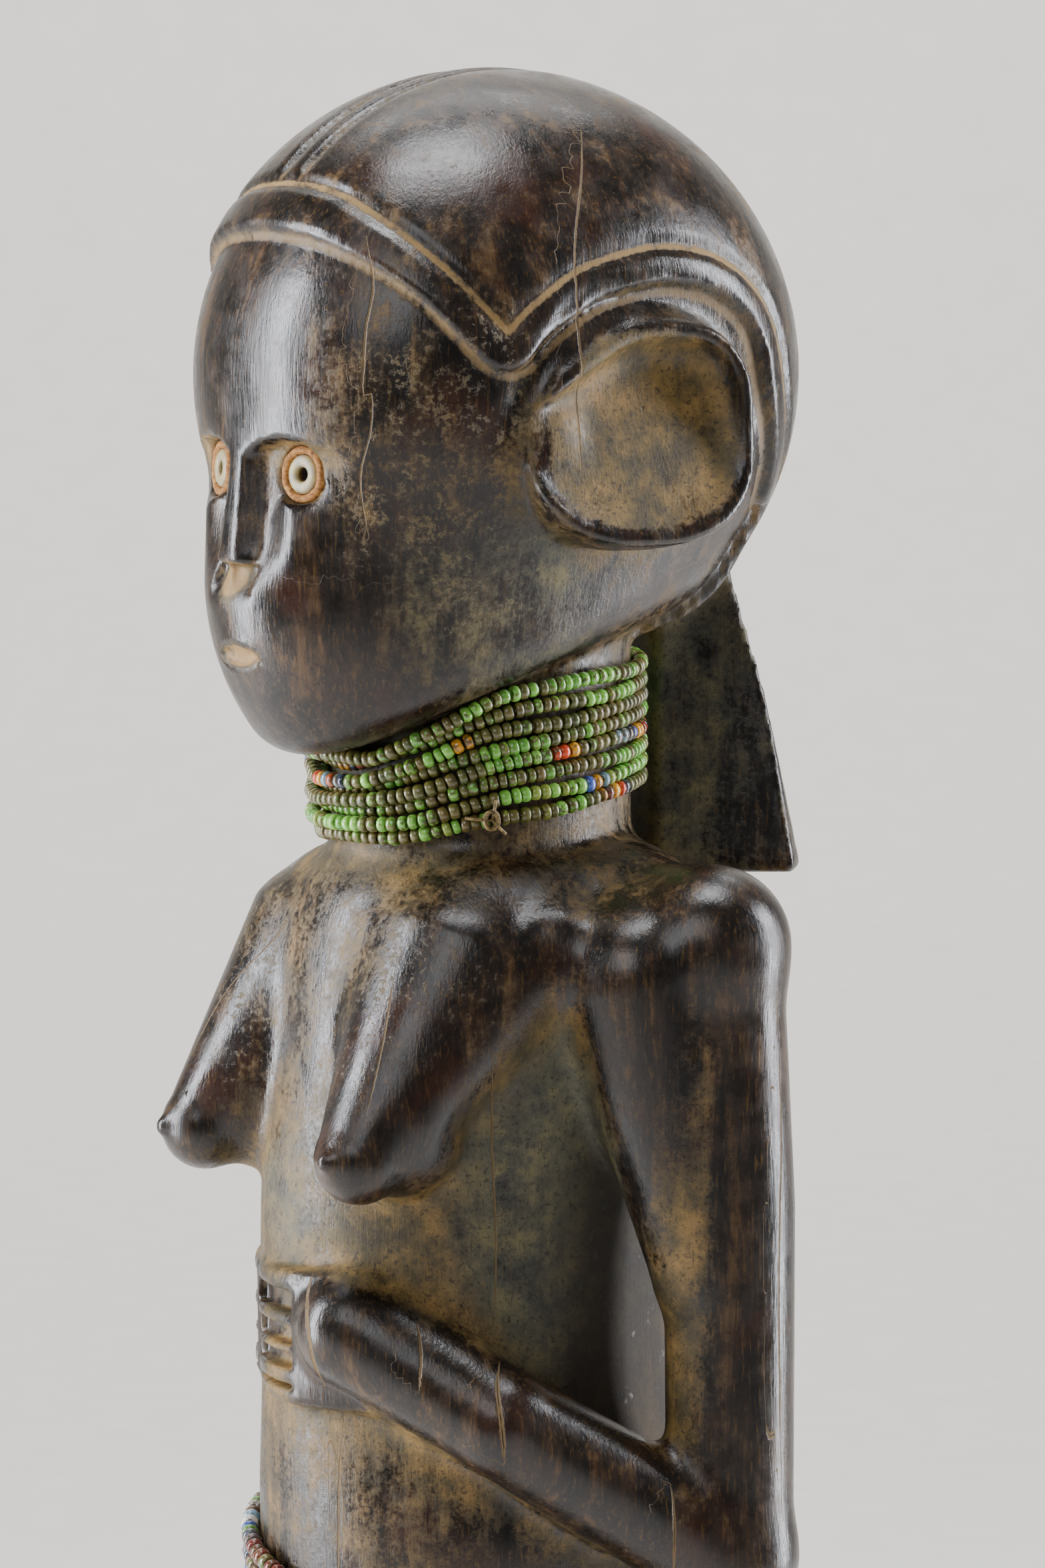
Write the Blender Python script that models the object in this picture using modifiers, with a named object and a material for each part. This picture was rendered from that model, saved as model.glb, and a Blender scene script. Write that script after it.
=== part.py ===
"""A standing female figure carved from one block of dark hardwood, on a low round base.

Its eyes are disc beads bedded in resin, and strings of small glass beads are wound round the
neck and the hips. The figure faces -Y, its left hand is at +X and it stands on the plane z = 0.
"""

import math

import bpy
import numpy as np
from mathutils import Matrix, Vector

# Driving sizes, in metres.
FIGURE_HEIGHT = 0.420
BASE_RADIUS = 0.047
BASE_THICKNESS = 0.014
BASE_EDGE_ROUND = 0.003
NECK_HALF_WIDTH = 0.0215
NECK_HALF_DEPTH = 0.0235
HIP_HALF_WIDTH = 0.0320
HIP_HALF_DEPTH = 0.0340
EYE_SOCKET_RADIUS = 0.0044
EYE_SOCKET_DEPTH = 0.0022
EYE_DISC_RADIUS = 0.0029
EYE_DISC_THICKNESS = 0.0011
EYE_DISC_HOLE_RADIUS = 0.0011
EYE_DISC_ROUND = 0.0003
EYE_RESIN_RIM = 0.0005
EYE_SIDES = 16
NECK_BEAD_DIAMETER = 0.0025
NECK_STRING_TURNS = 8
NECK_STRING_SPREAD = 0.0016
HIP_BEAD_DIAMETER = 0.0029
HIP_STRING_TURNS = 3
HIP_STRING_PITCH = 0.0036
FIT_GAP = 0.0003
STRING_CLEARANCE = 0.0008

# The carving is laid out in shares of the figure's height, 420 to the whole.
SHARE = FIGURE_HEIGHT / 420

# The mesh that the carving is read on, and how many triangles it keeps.
CARVING_STEP = 1.5
CARVING_TRIANGLES = 6150
NECK_STRING_STEPS = 22
HIP_STRING_STEPS = 26

# Landmarks in shares: x out from the middle, y back, z up. Those of the arms are of the left one.
SHOULDER = (40.0, 14.5, 289.0)
UPPER_ARM = (42.0, 16.8, 250.0)
ELBOW = (42.8, 16.5, 196.5)
FOREARM = (32.0, -17.5, 218.5)
WRIST = (13.0, -31.5, 231.5)
RIGHT_FOREARM = (38.0, -4.0, 211.0)
RIGHT_WRIST = (24.0, -15.0, 228.0)
BREAST_ROOT = (17.0, -15.0, 283.0)
BREAST_TIP = (21.8, -36.4, 258.6)
NIPPLE = (23.0, -42.8, 258.8)
BREAST_UNDERSIDE = (20.0, -28.5, 261.6)
BREAST_RIDGE = (27.5, -6.0, 289.0)
HIP = (17.0, 1.0, 170.0)
KNEE = (17.5, -9.0, 96.0)
CALF = (17.5, 2.0, 66.0)
ANKLE = (17.5, 3.0, 30.0)
TOES = (18.5, -24.0, 19.0)
EYE = (11.5, 360.0)
EYE_TURN = 14.0
BROW = [
    (0, 361.3),
    (2.3, 362.8),
    (5.3, 364.4),
    (9.4, 365.3),
    (13.3, 365.1),
    (17.4, 364.0),
    (20.3, 362.6),
]
NOSE_HALF_WIDTH = [(346, 2.1), (362, 1.1)]
NOSE_FOOT = [(346, 5.8), (362, 4.4)]
CHEEK_EDGE = [(6, 352.5), (8, 355.8), (10.6, 356.4), (13.9, 355.9), (18, 357.0), (22, 360.0)]
NOSE_END = 347.0
HOLLOW_DEPTH = 2.6
NOSTRIL_DEPTH = 2.2
MOUTH_HEIGHT = 332.6
MOUTH_HALF_WIDTH = 5.6
MOUTH_HALF_HEIGHT = 1.6
MOUTH_DEPTH = 1.0
MOUTH_LIP = 0.2
EAR = (36.5, 5.5, 365.5)
EAR_FACES = (1.0, -0.10, 0.16)
EAR_MIDDLE = (-1.6, 0.8)
EAR_RADII = (19.1, 17.4)
EAR_SQUARENESS = 2.6
EAR_RIM = 1.7
EAR_FLOOR = 2.2
EAR_DISH_DEPTH = (1.3, 4.6)
EAR_HOOD = 1.5
EAR_HOOD_EDGE = (-0.516, 0.857, 13.6)
EAR_HOOD_TOP = 14.4
EAR_CHEEK = 0.5
EAR_CHANNEL_DEPTH = 1.3
CROWN_CENTRE = (0.0, 1.8, 373.6)
CROWN_RADII = (36.2, 45.9, 44.5)
CROWN_SQUARENESS = 2.4
FACE_CENTRE = (0.0, -5.0, 344.0)
FACE_RADII = (28.5, 41.0, 40.0)
JAW_RISE = 0.008

# The belly that the hands lie on: its middle, its radius, and each finger's height there.
BELLY_MIDDLE = -2.0
BELLY_RADIUS = 33.0
FINGER_GAPS = [(234.8, 1.65), (229.8, 1.5), (225.8, 1.2), (221.8, 0.4)]

# The hairline as (degrees round from the nose, height): an arch over the forehead, a point at
# the temple, an arch over the ear and the fall behind it.
FOREHEAD_ARCH = [
    (0, 403.2),
    (12, 402.7),
    (23, 401.0),
    (36, 396.4),
    (48, 390.0),
    (60, 381.3),
]
EAR_ARCH = [
    (60, 381.3),
    (65, 384.9),
    (78, 390.5),
    (97, 393.4),
    (108, 393.7),
    (117, 392.8),
    (124, 391.0),
    (131, 387.4),
    (136, 381.5),
    (140, 371.0),
    (149, 358.0),
]
HAIR_BAND_WIDTH = 5.8
HAIR_BAND_EXTRA = 2.3
HAIR_THICKNESS = 1.8
HAIR_GROOVE_DEPTH = 1.5
HAIR_GROOVE_WIDTH = 0.9
PARTING_OUT = 2.6
QUEUE_SETBACK = 1.9

# The neck coil's upper and lower end as (distance back, height), and where its turns crowd.
NECK_STRING_TOP = [(-26, 317.2), (-22, 321.0), (-12, 326.6), (0, 328.4), (13, 329.4), (26, 330.4)]
NECK_STRING_LOW = [(-26, 304.2), (-22, 303.8), (-12, 306.2), (0, 307.7), (13, 309.4), (26, 310.3)]
NECK_STRING_CROWD = (12, 24)

# The upper edge of the hip coil as (degrees round from the front, height).
HIP_STRING_LINE = [
    (-180, 189),
    (-120, 187.8),
    (-90, 192.5),
    (-70, 198),
    (-55, 200),
    (-24, 197),
    (3, 193.5),
    (30, 190.5),
    (60, 188.5),
    (90, 187.5),
    (120, 187.5),
    (180, 189),
]


def shares(length):
    """A length in metres as shares of the figure's height."""
    return length / SHARE


def spline(points, steps):
    """A smooth line of steps spans between each two points, through them all."""
    points = np.asarray(points, float)
    ends = np.vstack([2 * points[0] - points[1], points, 2 * points[-1] - points[-2]])
    rows = []
    for before, start, end, after in zip(ends, ends[1:], ends[2:], ends[3:]):
        for t in np.arange(steps) / steps:
            rows.append(
                start
                + 0.5 * t * (end - before)
                + t * t * (before - 2.5 * start + 2 * end - 0.5 * after)
                + t * t * t * (1.5 * start - 1.5 * end + 0.5 * (after - before))
            )
    return np.array([*rows, points[-1]])


def profile(at, knots):
    """The value at each place along a smooth curve through (place, value) knots."""
    line = spline(knots, 6)
    return np.interp(at, line[:, 0], line[:, 1])


def join(a, b, soft):
    """Two forms as one, with a fillet about soft wide where they meet."""
    mix = np.clip(0.5 + 0.5 * (b - a) / soft, 0, 1)
    return b + (a - b) * mix - soft * mix * (1 - mix)


def cut(a, b, soft):
    """Form a with form b cut from it, and the edge rounded."""
    return -join(-a, b, soft)


def within(a, b, soft):
    """What forms a and b share."""
    return -join(-a, -b, soft)


def ball(p, centre, radii):
    """An egg with its own radius along each axis."""
    q = (p - np.array(centre)) / np.array(radii)
    reach = np.linalg.norm(q, axis=1)
    slope = np.linalg.norm(q / np.array(radii), axis=1)
    return reach * (reach - 1) / np.maximum(slope, 1e-9)


def limb(p, start, end, start_radius, end_radius):
    """A round bar that tapers between two points."""
    start, end = np.array(start, float), np.array(end, float)
    along = end - start
    t = np.clip((p - start) @ along / (along @ along), 0, 1)
    gap = np.linalg.norm(p - start - t[:, None] * along, axis=1)
    return gap - (start_radius + (end_radius - start_radius) * t)


def column(p, half_width, half_depth, middle, low, high, soft):
    """An upright oval column, whose three measures are curves of height."""
    w, d, y = (profile(p[:, 2], knots) for knots in (half_width, half_depth, middle))
    reach = np.hypot(p[:, 0] / w, (p[:, 1] - y) / d)
    side = (reach - 1) * np.minimum(w, d)
    caps = np.maximum(low - p[:, 2], p[:, 2] - high)
    return within(side, caps, soft)


def plane(p, point, facing):
    """Everything behind a flat face."""
    facing = np.array(facing, float) / np.linalg.norm(facing)
    return (p - np.array(point)) @ facing


def bump(distance, width):
    """1 on a line and 0 a width away from it, with a smooth fall."""
    return np.exp(-((distance / width) ** 2))


def path_gap(p, path):
    """How far each point is from a line through the points of a path."""
    gap = np.full(len(p), np.inf)
    for start, end in zip(path, path[1:]):
        gap = np.minimum(gap, limb(p, start, end, 0.0, 0.0))
    return gap


def crown(p):
    """The top of the head, an egg a little squared in plan."""
    q = np.abs((p - np.array(CROWN_CENTRE)) / np.array(CROWN_RADII))
    plan = (q[:, 0] ** CROWN_SQUARENESS + q[:, 1] ** CROWN_SQUARENESS) ** (1 / CROWN_SQUARENESS)
    return (np.hypot(plan, q[:, 2]) - 1) * 40.0


def skull(p):
    """The egg of the crown and the narrower egg of the face, cut under the jaw, which rises aside."""
    head = join(crown(p), ball(p, FACE_CENTRE, FACE_RADII), 7.0)
    under = plane(p, (0, -33, 316.3), (0, 0.33, -1)) + JAW_RISE * np.minimum(p[:, 0] ** 2, 700)
    return within(head, under, 5.0)


def on_hair(turn, height):
    """The point of the hair's surface at this many degrees round from the nose and this height."""
    out = Vector((math.sin(math.radians(turn)), -math.cos(math.radians(turn)), 0))
    near, far = 0.0, 80.0
    for _ in range(30):
        reach = (near + far) / 2
        point = np.array([[out.x * reach, CROWN_CENTRE[1] + out.y * reach, height]])
        near, far = (reach, far) if skull(point)[0] < HAIR_THICKNESS else (near, reach)
    return point[0]


def hairline():
    """The hairline as (degrees round from the nose, height) rows and as points of the hair."""
    rows = np.vstack([spline(FOREHEAD_ARCH, 4), spline(EAR_ARCH, 4)[1:]])
    return rows, np.array([on_hair(*row) for row in rows])


def hair_side(p):
    """How far each point is from the hairline and from the band's lower edge; both rise upwards."""
    rows, path = HAIRLINE
    turn = np.degrees(np.arctan2(p[:, 0], CROWN_CENTRE[1] - p[:, 1]))
    above = p[:, 2] > np.interp(turn, rows[:, 0], rows[:, 1])
    side = path_gap(p, path) * np.where(above | (turn > rows[-1, 0]), 1, -1)
    return side, side + HAIR_BAND_WIDTH + HAIR_BAND_EXTRA * step_up(-turn, -45, -8)


def partings(p):
    """1 in the two grooves that run back over the crown, and 0 beside them."""
    line = bump(p[:, 0] - PARTING_OUT, HAIR_GROOVE_WIDTH)
    return line * step_up(p[:, 2], 402, 406) * step_up(-p[:, 1], -12, -6)


def hair_relief(p):
    """How far the surface stands out from the skull: hair, its grooved band and the lower face."""
    side, lower = hair_side(p)
    hair = HAIR_THICKNESS * step_up(lower, -0.7, 0.7)
    return hair - HAIR_GROOVE_DEPTH * np.maximum(bump(side, HAIR_GROOVE_WIDTH), partings(p))


def ear_axes():
    """The ear's own directions: out of its face, towards the back and up."""
    out = Vector(EAR_FACES).normalized()
    back = Vector((0, 0, 1)).cross(out).normalized()
    return np.array([out, back, out.cross(back)])


def ear_places(p):
    """Points in the ear's own directions, from its middle."""
    return (p - np.array(EAR)) @ ear_axes().T


def ear_outline(places):
    """How far outside the ear's edge a point is, square on: a full curve, cut off above in front."""
    back, up = places[:, 1], places[:, 2]
    q = np.abs(np.stack([back - EAR_MIDDLE[0], up - EAR_MIDDLE[1]], 1)) / np.array(EAR_RADII)
    full = ((q**EAR_SQUARENESS).sum(axis=1) ** (1 / EAR_SQUARENESS) - 1) * EAR_RADII[1]
    return within(full, 0.516 * up - 0.857 * back - 18.7, 3.0)


def with_ears(head, p):
    """The head with its broad dished ears: a hood above, a thin rim below, and open in front."""
    places = ear_places(p)
    out, back, up = places.T
    edge = ear_outline(places)
    opening = step_up(-back, 8, 15) * bump(up - 1, 8.0)
    wall = edge + EAR_RIM * (1 - opening) - 2.5 * opening
    front, rise, reach = EAR_HOOD_EDGE
    wall = within(within(wall, front * back + rise * up - reach, 2.0), up - EAR_HOOD_TOP, 3.0)
    hood = EAR_HOOD * bump(wall - 1.4, 2.2) - EAR_CHANNEL_DEPTH * bump(wall - 6.5, 3.0)
    hood = hood * step_up(up, 0, 9)
    shell = within(edge, np.abs(out + 2.2) - 4.4 - hood, 1.4)
    shallow, steep = EAR_DISH_DEPTH
    depth = shallow + (steep - shallow) * step_up(up, -14, 11)
    dished = EAR_FLOOR - depth * (1 - np.exp(np.minimum(wall, 0) / 1.6))
    floor = dished + (EAR_CHEEK - dished) * opening * (1 - step_up(up, 2, 7))
    dish = within(wall, floor - out, 0.6)
    channel = bump(edge - 2.6, 2.2) * step_up(up, -4, 8)
    return cut(join(head + EAR_CHANNEL_DEPTH * channel, shell, 1.2), dish, 0.5)


def step_up(value, low, high):
    """0 below low, 1 above high and a smooth rise between."""
    t = np.clip((value - low) / (high - low), 0, 1)
    return t * t * (3 - 2 * t)


def eye_hollows(p):
    """How deep the face is carved away under the brows and down both sides of the nose."""
    x, z = p[:, 0], p[:, 2]
    under_brow = 1 - step_up(z, *(np.interp(x, *zip(*BROW)) + np.array([[-0.9], [0.3]])))
    nose_side = step_up(x, np.interp(z, *zip(*NOSE_HALF_WIDTH)), np.interp(z, *zip(*NOSE_FOOT)))
    socket = HOLLOW_DEPTH * (1 - 0.75 * step_up(x, 5, 19)) * (1 - step_up(x, 17, 22))
    over_cheek = step_up(z, *(np.interp(x, *zip(*CHEEK_EDGE)) + np.array([[-2.4], [1.4]])))
    valley = HOLLOW_DEPTH * (1 - step_up(x, 4.5, 13)) * step_up(z, 341, 350)
    return under_brow * nose_side * np.maximum(socket * over_cheek, valley)


def nostrils(p):
    """The underside of the nose: two upright flutes that run out on the lip, and a ridge between."""
    x, z = p[:, 0], p[:, 2]
    below = NOSE_END - z
    drop = step_up(below, 0.2, 1.0) * (1 - step_up(below, 1.5, 7.0)) * (1 - step_up(x, 4.2, 5.8))
    return drop * (NOSTRIL_DEPTH - 1.1 * bump(x, 0.7))


def mouth(p):
    """A flat almond cut into the face, with a faint lip round it."""
    x, up = p[:, 0], p[:, 2] - MOUTH_HEIGHT
    edge = np.abs(up) - MOUTH_HALF_HEIGHT * (1 - (x / MOUTH_HALF_WIDTH) ** 2)
    lip = MOUTH_LIP * bump(edge - 0.7, 0.7) * (x < MOUTH_HALF_WIDTH)
    return MOUTH_DEPTH * (1 - step_up(edge, -0.5, 0.2)) - lip


def with_face(head, p):
    """The head with hollow eyes beside a long thin nose, nostrils and a small mouth."""
    front = p[:, 1] < -28
    relief = np.zeros(len(p))
    face = p[front]
    relief[front] = eye_hollows(face) + nostrils(face) + mouth(face)
    return head + relief


def eye_frame():
    """The left eye's middle on the face, and the direction that it looks in."""
    x, z = EYE
    near, far = -60.0, 0.0
    for _ in range(30):
        y = (near + far) / 2
        place = np.array([[x, y, z]])
        near, far = (near, y) if with_face(skull(place), place)[0] < 0 else (y, far)
    turn = math.radians(EYE_TURN)
    return Vector((x, y, z)), Vector((math.sin(turn), -math.cos(turn), 0.06)).normalized()


def head(p):
    """The whole head: skull, hair, ears and face. Far from it only its egg is read."""
    form = skull(p)
    near = (form > -14) & (form < 24) & (p[:, 2] > 320)
    relief = np.zeros(len(p))
    relief[near] = hair_relief(p[near])
    relief[~near] = np.clip((p[~near, 2] - 380) / 20, 0, 1) * HAIR_THICKNESS
    form = form - relief
    form[near] = with_ears(with_face(form[near], p[near]), p[near])
    return form


def string_room():
    """How far back from the neck's middle the beads behind it need free."""
    return shares(NECK_HALF_DEPTH + NECK_BEAD_DIAMETER + 2 * STRING_CLEARANCE)


def queue(p):
    """The hair that hangs behind the neck, narrow in front and flaring down and back to a rim."""
    back, down = p[:, 1], 341 - p[:, 2]
    reach = np.clip((back - string_room() - QUEUE_SETBACK + 0.5) / 16, 0, 1.4)
    half_width = 4.5 + (7.0 + 0.20 * np.clip(down, -20, 60)) * reach**1.5
    form = (p[:, 0] - half_width) / 1.5
    form = within(form, plane(p, (0, 41.3, 341), (0, 1, 0.17)), 1.0)
    form = within(form, plane(p, (17.0, 48.0, 297), (0.75, 0.66, 0.20)), 0.8)
    form = within(form, plane(p, (0, 0, 293.5), (0, 0.06, -1)), 1.6)
    form = within(form, string_room() + QUEUE_SETBACK - back, 1.5)
    return within(form, p[:, 2] - 352, 1.5)


def neck(p):
    """A straight oval neck, from within the chest to within the head."""
    wide = [(290, shares(NECK_HALF_WIDTH)), (350, shares(NECK_HALF_WIDTH))]
    deep = [(290, shares(NECK_HALF_DEPTH)), (350, shares(NECK_HALF_DEPTH))]
    return column(p, wide, deep, [(290, 0.0), (350, 0.0)], 285, 348, 1.0)


def torso(p):
    """Chest, waist and belly as one deep column, with the yoke of the shoulders across it."""
    hip = [(190, shares(HIP_HALF_WIDTH)), (202, shares(HIP_HALF_WIDTH))]
    waist = [(222, 28.5), (250, 28.5), (275, 31), (305, 29)]
    wide = [(150, 34), (166, 35), (182, 31), *hip, *waist]
    hip = [(186, shares(HIP_HALF_DEPTH)), (202, shares(HIP_HALF_DEPTH))]
    chest = [(222, 33.5), (250, 33.5), (275, 32), (290, 30.5), (305, 25)]
    deep = [(150, 30), (168, 33), *hip, *chest]
    middle = [(150, 3), (186, 0), (202, -1), (222, -2), (250, -2), (275, 0), (305, 1)]
    form = column(p, wide, deep, middle, 158, 302, 7.0)
    yoke = limb(p, (0, 9, 287.0), SHOULDER, 14.0, 11.5)
    cone = limb(p, BREAST_ROOT, BREAST_TIP, 16.5, 6.8)
    underside = ball(p, BREAST_UNDERSIDE, (9.4, 9.8, 9.6))
    ridge = limb(p, BREAST_RIDGE, (24.0, -29.0, 265.5), 8.0, 5.6)
    breast = join(join(cone, underside, 2.0), ridge, 3.0)
    nipple = ball(p, NIPPLE, (1.5, 1.5, 1.5))
    return join(join(join(form, yoke, 8.0), breast, 3.5), nipple, 1.2)


def arm(p, forearm, wrist):
    """The upper arm hangs free of the flank, and the forearm lies across the belly."""
    upper = np.minimum(limb(p, SHOULDER, UPPER_ARM, 11.0, 9.9), limb(p, UPPER_ARM, ELBOW, 9.9, 9.6))
    upper = join(upper, limb(p, (34.5, 5.0, 284.0), (40.5, 13.5, 240.0), 12.5, 8.2), 3.0)
    lower = join(limb(p, ELBOW, forearm, 9.4, 8.2), limb(p, forearm, wrist, 8.2, 9.0), 0.8)
    return join(upper, lower, 4.0)


def hand(p, belly, tip, palm):
    """A hand laid flat on the belly, from its fingertips to its palm, and its finger gaps."""
    along = BELLY_RADIUS * np.arctan2(p[:, 0], BELLY_MIDDLE - p[:, 1])
    share = np.clip((along - tip) / (palm - tip), 0, 1)
    high = np.abs(p[:, 2] - (230.0 - 0.5 * share)) - 8.8 - 1.6 * share
    length = np.maximum(tip - along, along - palm - 14)
    slab = within(within(belly - 0.4 - 2.2 * share, high, 1.4), length, 1.4)
    gaps = np.full(len(p), np.inf)
    for height, half in FINGER_GAPS:
        gaps = np.minimum(gaps, np.abs(p[:, 2] - height) - half)
    ends = np.maximum(tip + 1.2 - along, along - palm)
    return slab, np.maximum(np.maximum(gaps, ends), -0.7 - belly)


def arms_and_hands(p, left, belly):
    """Both arms; the right hand stops where the left fingertips reach to."""
    right = p[:, 0] < 0
    form = arm(left, FOREARM, WRIST)
    form[right] = arm(left[right], RIGHT_FOREARM, RIGHT_WRIST)
    form = join(belly, form, 4.0)
    mirrored = p * np.array((-1, 1, 1))
    for places, tip, palm in ((p, -10.5, 4.5), (mirrored, 13.5, 27.5)):
        slab, gaps = hand(places, belly, tip, palm)
        form = cut(join(form, slab, 1.2), gaps, 0.4)
    return form


def leg(p):
    form = join(limb(p, HIP, KNEE, 17.5, 12.5), limb(p, KNEE, CALF, 11.5, 11.8), 6.0)
    form = join(form, limb(p, CALF, ANKLE, 11.5, 8.8), 6.0)
    buttock = ball(p, (15.5, 19, 168), (16.5, 19, 18))
    foot = limb(p, (17.5, 6, 20), TOES, 8.5, 7.0)
    return join(join(form, buttock, 7.0), foot, 4.0)


def base(p):
    """The low round base. It runs on below the ground, where it is cut flat."""
    side = np.hypot(p[:, 0], p[:, 1]) - shares(BASE_RADIUS)
    return within(side, p[:, 2] - shares(BASE_THICKNESS), shares(BASE_EDGE_ROUND))


def figure(p):
    """How far each point is outside the carving, in shares; it is negative inside the wood."""
    left = p * np.where(p[:, :1] < 0, (-1, 1, 1), (1, 1, 1))
    body = join(arms_and_hands(p, left, torso(left)), leg(left), 7.0)
    top = join(join(neck(left), queue(left), 1.2), head(left), 1.6)
    form = join(join(body, top, 3.0), base(left), 2.0)
    return np.maximum(form, -4 - p[:, 2])


def blocks_near(field, low, high, width, cells):
    """The corners of the blocks that a field's surface may pass, sought in wide blocks first."""
    if width > 16:
        axes = [np.arange(a, b, width) for a, b in zip(low, high)]
        corners = np.stack(np.meshgrid(*axes, indexing="ij"), -1).reshape(-1, 3)
    else:
        wide = blocks_near(field, low, high, width * 2, cells)
        eighths = width * np.stack(np.meshgrid(*[[0, 1]] * 3, indexing="ij"), -1).reshape(-1, 3)
        corners = (wide[:, None] + eighths).reshape(-1, 3)
    value = field(corners + width / 2)
    return corners[np.abs(value) < 1.1 * width + 2.5]


def surface_of(field, low, high, step, cells=4):
    """The points and four-sided faces of the surface where a field is zero, read on a grid."""
    offsets = np.stack(np.meshgrid(*[np.arange(cells + 1)] * 3, indexing="ij"), -1).reshape(-1, 3)
    corners = blocks_near(field, low, high, cells * step, cells)
    first = np.rint((corners - np.array(low)) / step).astype(int)
    shape = tuple(first.max(axis=0) + cells + 2)
    value = np.full(shape, np.inf)
    index = (first[:, None] + offsets).reshape(-1, 3)
    for some in np.array_split(index, max(1, len(index) // 400000)):
        value[tuple(some.T)] = field(np.array(low) + step * some)
    known = np.isfinite(value)
    inside = value < 0
    total, count = np.zeros((*[n - 1 for n in shape], 3)), np.zeros([n - 1 for n in shape])
    crossings = []
    for axis in range(3):
        a, b = [slice(None)] * 3, [slice(None)] * 3
        a[axis], b[axis] = slice(0, -1), slice(1, None)
        a, b = tuple(a), tuple(b)
        crossed = (inside[a] != inside[b]) & known[a] & known[b]
        at = np.argwhere(crossed)
        start, end = value[a][crossed], value[b][crossed]
        point = np.array(low) + step * at
        point[:, axis] += step * start / (start - end)
        others = [n for n in range(3) if n != axis]
        one, two = np.eye(3, dtype=int)[others[0]], np.eye(3, dtype=int)[others[1]]
        for shift in (0 * one, one, two, one + two):
            cell = at - shift
            kept = np.all((cell >= 0) & (cell < np.array(count.shape)), axis=1)
            np.add.at(count, tuple(cell[kept].T), 1)
            np.add.at(total, tuple(cell[kept].T), point[kept])
        crossings.append((axis, at, one, two, start < 0))
    filled = count > 0
    number = np.cumsum(filled.ravel()).reshape(filled.shape) - 1
    points = total[filled] / count[filled][:, None]
    faces = []
    for axis, at, one, two, starts_inside in crossings:
        face = np.stack([number[tuple(c.T)] for c in (at, at - one, at - one - two, at - two)], 1)
        flip = starts_inside ^ (axis == 1)
        face[~flip] = face[~flip][:, ::-1]
        faces.append(face)
    return points, np.concatenate(faces)


def material(name, colour, roughness, metallic=0.0):
    made = bpy.data.materials.new(name)
    made.use_nodes = True
    shader = made.node_tree.nodes["Principled BSDF"]
    shader.inputs["Base Color"].default_value = (*colour, 1)
    shader.inputs["Roughness"].default_value = roughness
    shader.inputs["Metallic"].default_value = metallic
    return made


def add_mesh(name, points, faces, finish):
    mesh = bpy.data.meshes.new(name)
    mesh.from_pydata([tuple(p) for p in points], [], [tuple(f) for f in faces])
    mesh.materials.append(finish)
    made = bpy.data.objects.new(name, mesh)
    parts.objects.link(made)
    return made


def carve_figure(finish):
    """The figure's mesh, made even and thinned out, then cut flat below and bored for the eyes."""
    low, high = (-60, -60, -6), (60, 60, 426)
    points, faces = surface_of(figure, low, high, CARVING_STEP)
    made = add_mesh("figure", points * SHARE, faces, finish)
    even = made.modifiers.new("Even mesh", "REMESH")
    even.mode = "VOXEL"
    even.voxel_size = CARVING_STEP * SHARE
    thin = made.modifiers.new("Fewer faces", "DECIMATE")
    thin.ratio = CARVING_TRIANGLES / (2 * len(faces))
    wide = 4 * BASE_RADIUS
    bpy.ops.mesh.primitive_cube_add(size=wide, location=(0, 0, -wide / 2))
    cut_out(made, bpy.context.object, "Flat underside")
    for side in (1, -1):
        bpy.ops.mesh.primitive_cylinder_add(
            vertices=EYE_SIDES,
            radius=EYE_SOCKET_RADIUS,
            depth=2 * EYE_SOCKET_DEPTH,
        )
        bpy.context.object.matrix_world = eye_place(side)
        cut_out(made, bpy.context.object, "Eye socket")
    return made


def cut_out(made, cutter, name):
    """Cut a form from an object by a Boolean, and put the form away with the cutters."""
    cutter.name = f"{name} cutter"
    cutter.hide_render = True
    cutter.display_type = "WIRE"
    for holder in list(cutter.users_collection):
        holder.objects.unlink(cutter)
    cutters.objects.link(cutter)
    taken = made.modifiers.new(name, "BOOLEAN")
    taken.operation = "DIFFERENCE"
    taken.solver = "EXACT"
    taken.object = cutter


def eye_place(side):
    """Where an eye sits: its disc's axis points along local Z, out of the face."""
    middle, out = eye_frame()
    middle.x *= side
    out.x *= side
    return Matrix.Translation(middle * SHARE) @ out.to_track_quat("Z", "Y").to_matrix().to_4x4()


def turned(name, place, outline, finish, hollow=False):
    """A turned piece from its (radius, height) outline, run down its outer side."""
    mesh = bpy.data.meshes.new(name)
    edges = [(n, n + 1) for n in range(len(outline) - 1)]
    if hollow:
        edges.append((len(outline) - 1, 0))
    mesh.from_pydata([(radius, 0, height) for radius, height in outline], edges, [])
    mesh.materials.append(finish)
    made = bpy.data.objects.new(name, mesh)
    made.matrix_world = place
    parts.objects.link(made)
    turning = made.modifiers.new("Turning", "SCREW")
    turning.steps = EYE_SIDES
    turning.render_steps = EYE_SIDES
    turning.use_merge_vertices = True
    turning.merge_threshold = 0.000001
    return made


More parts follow.
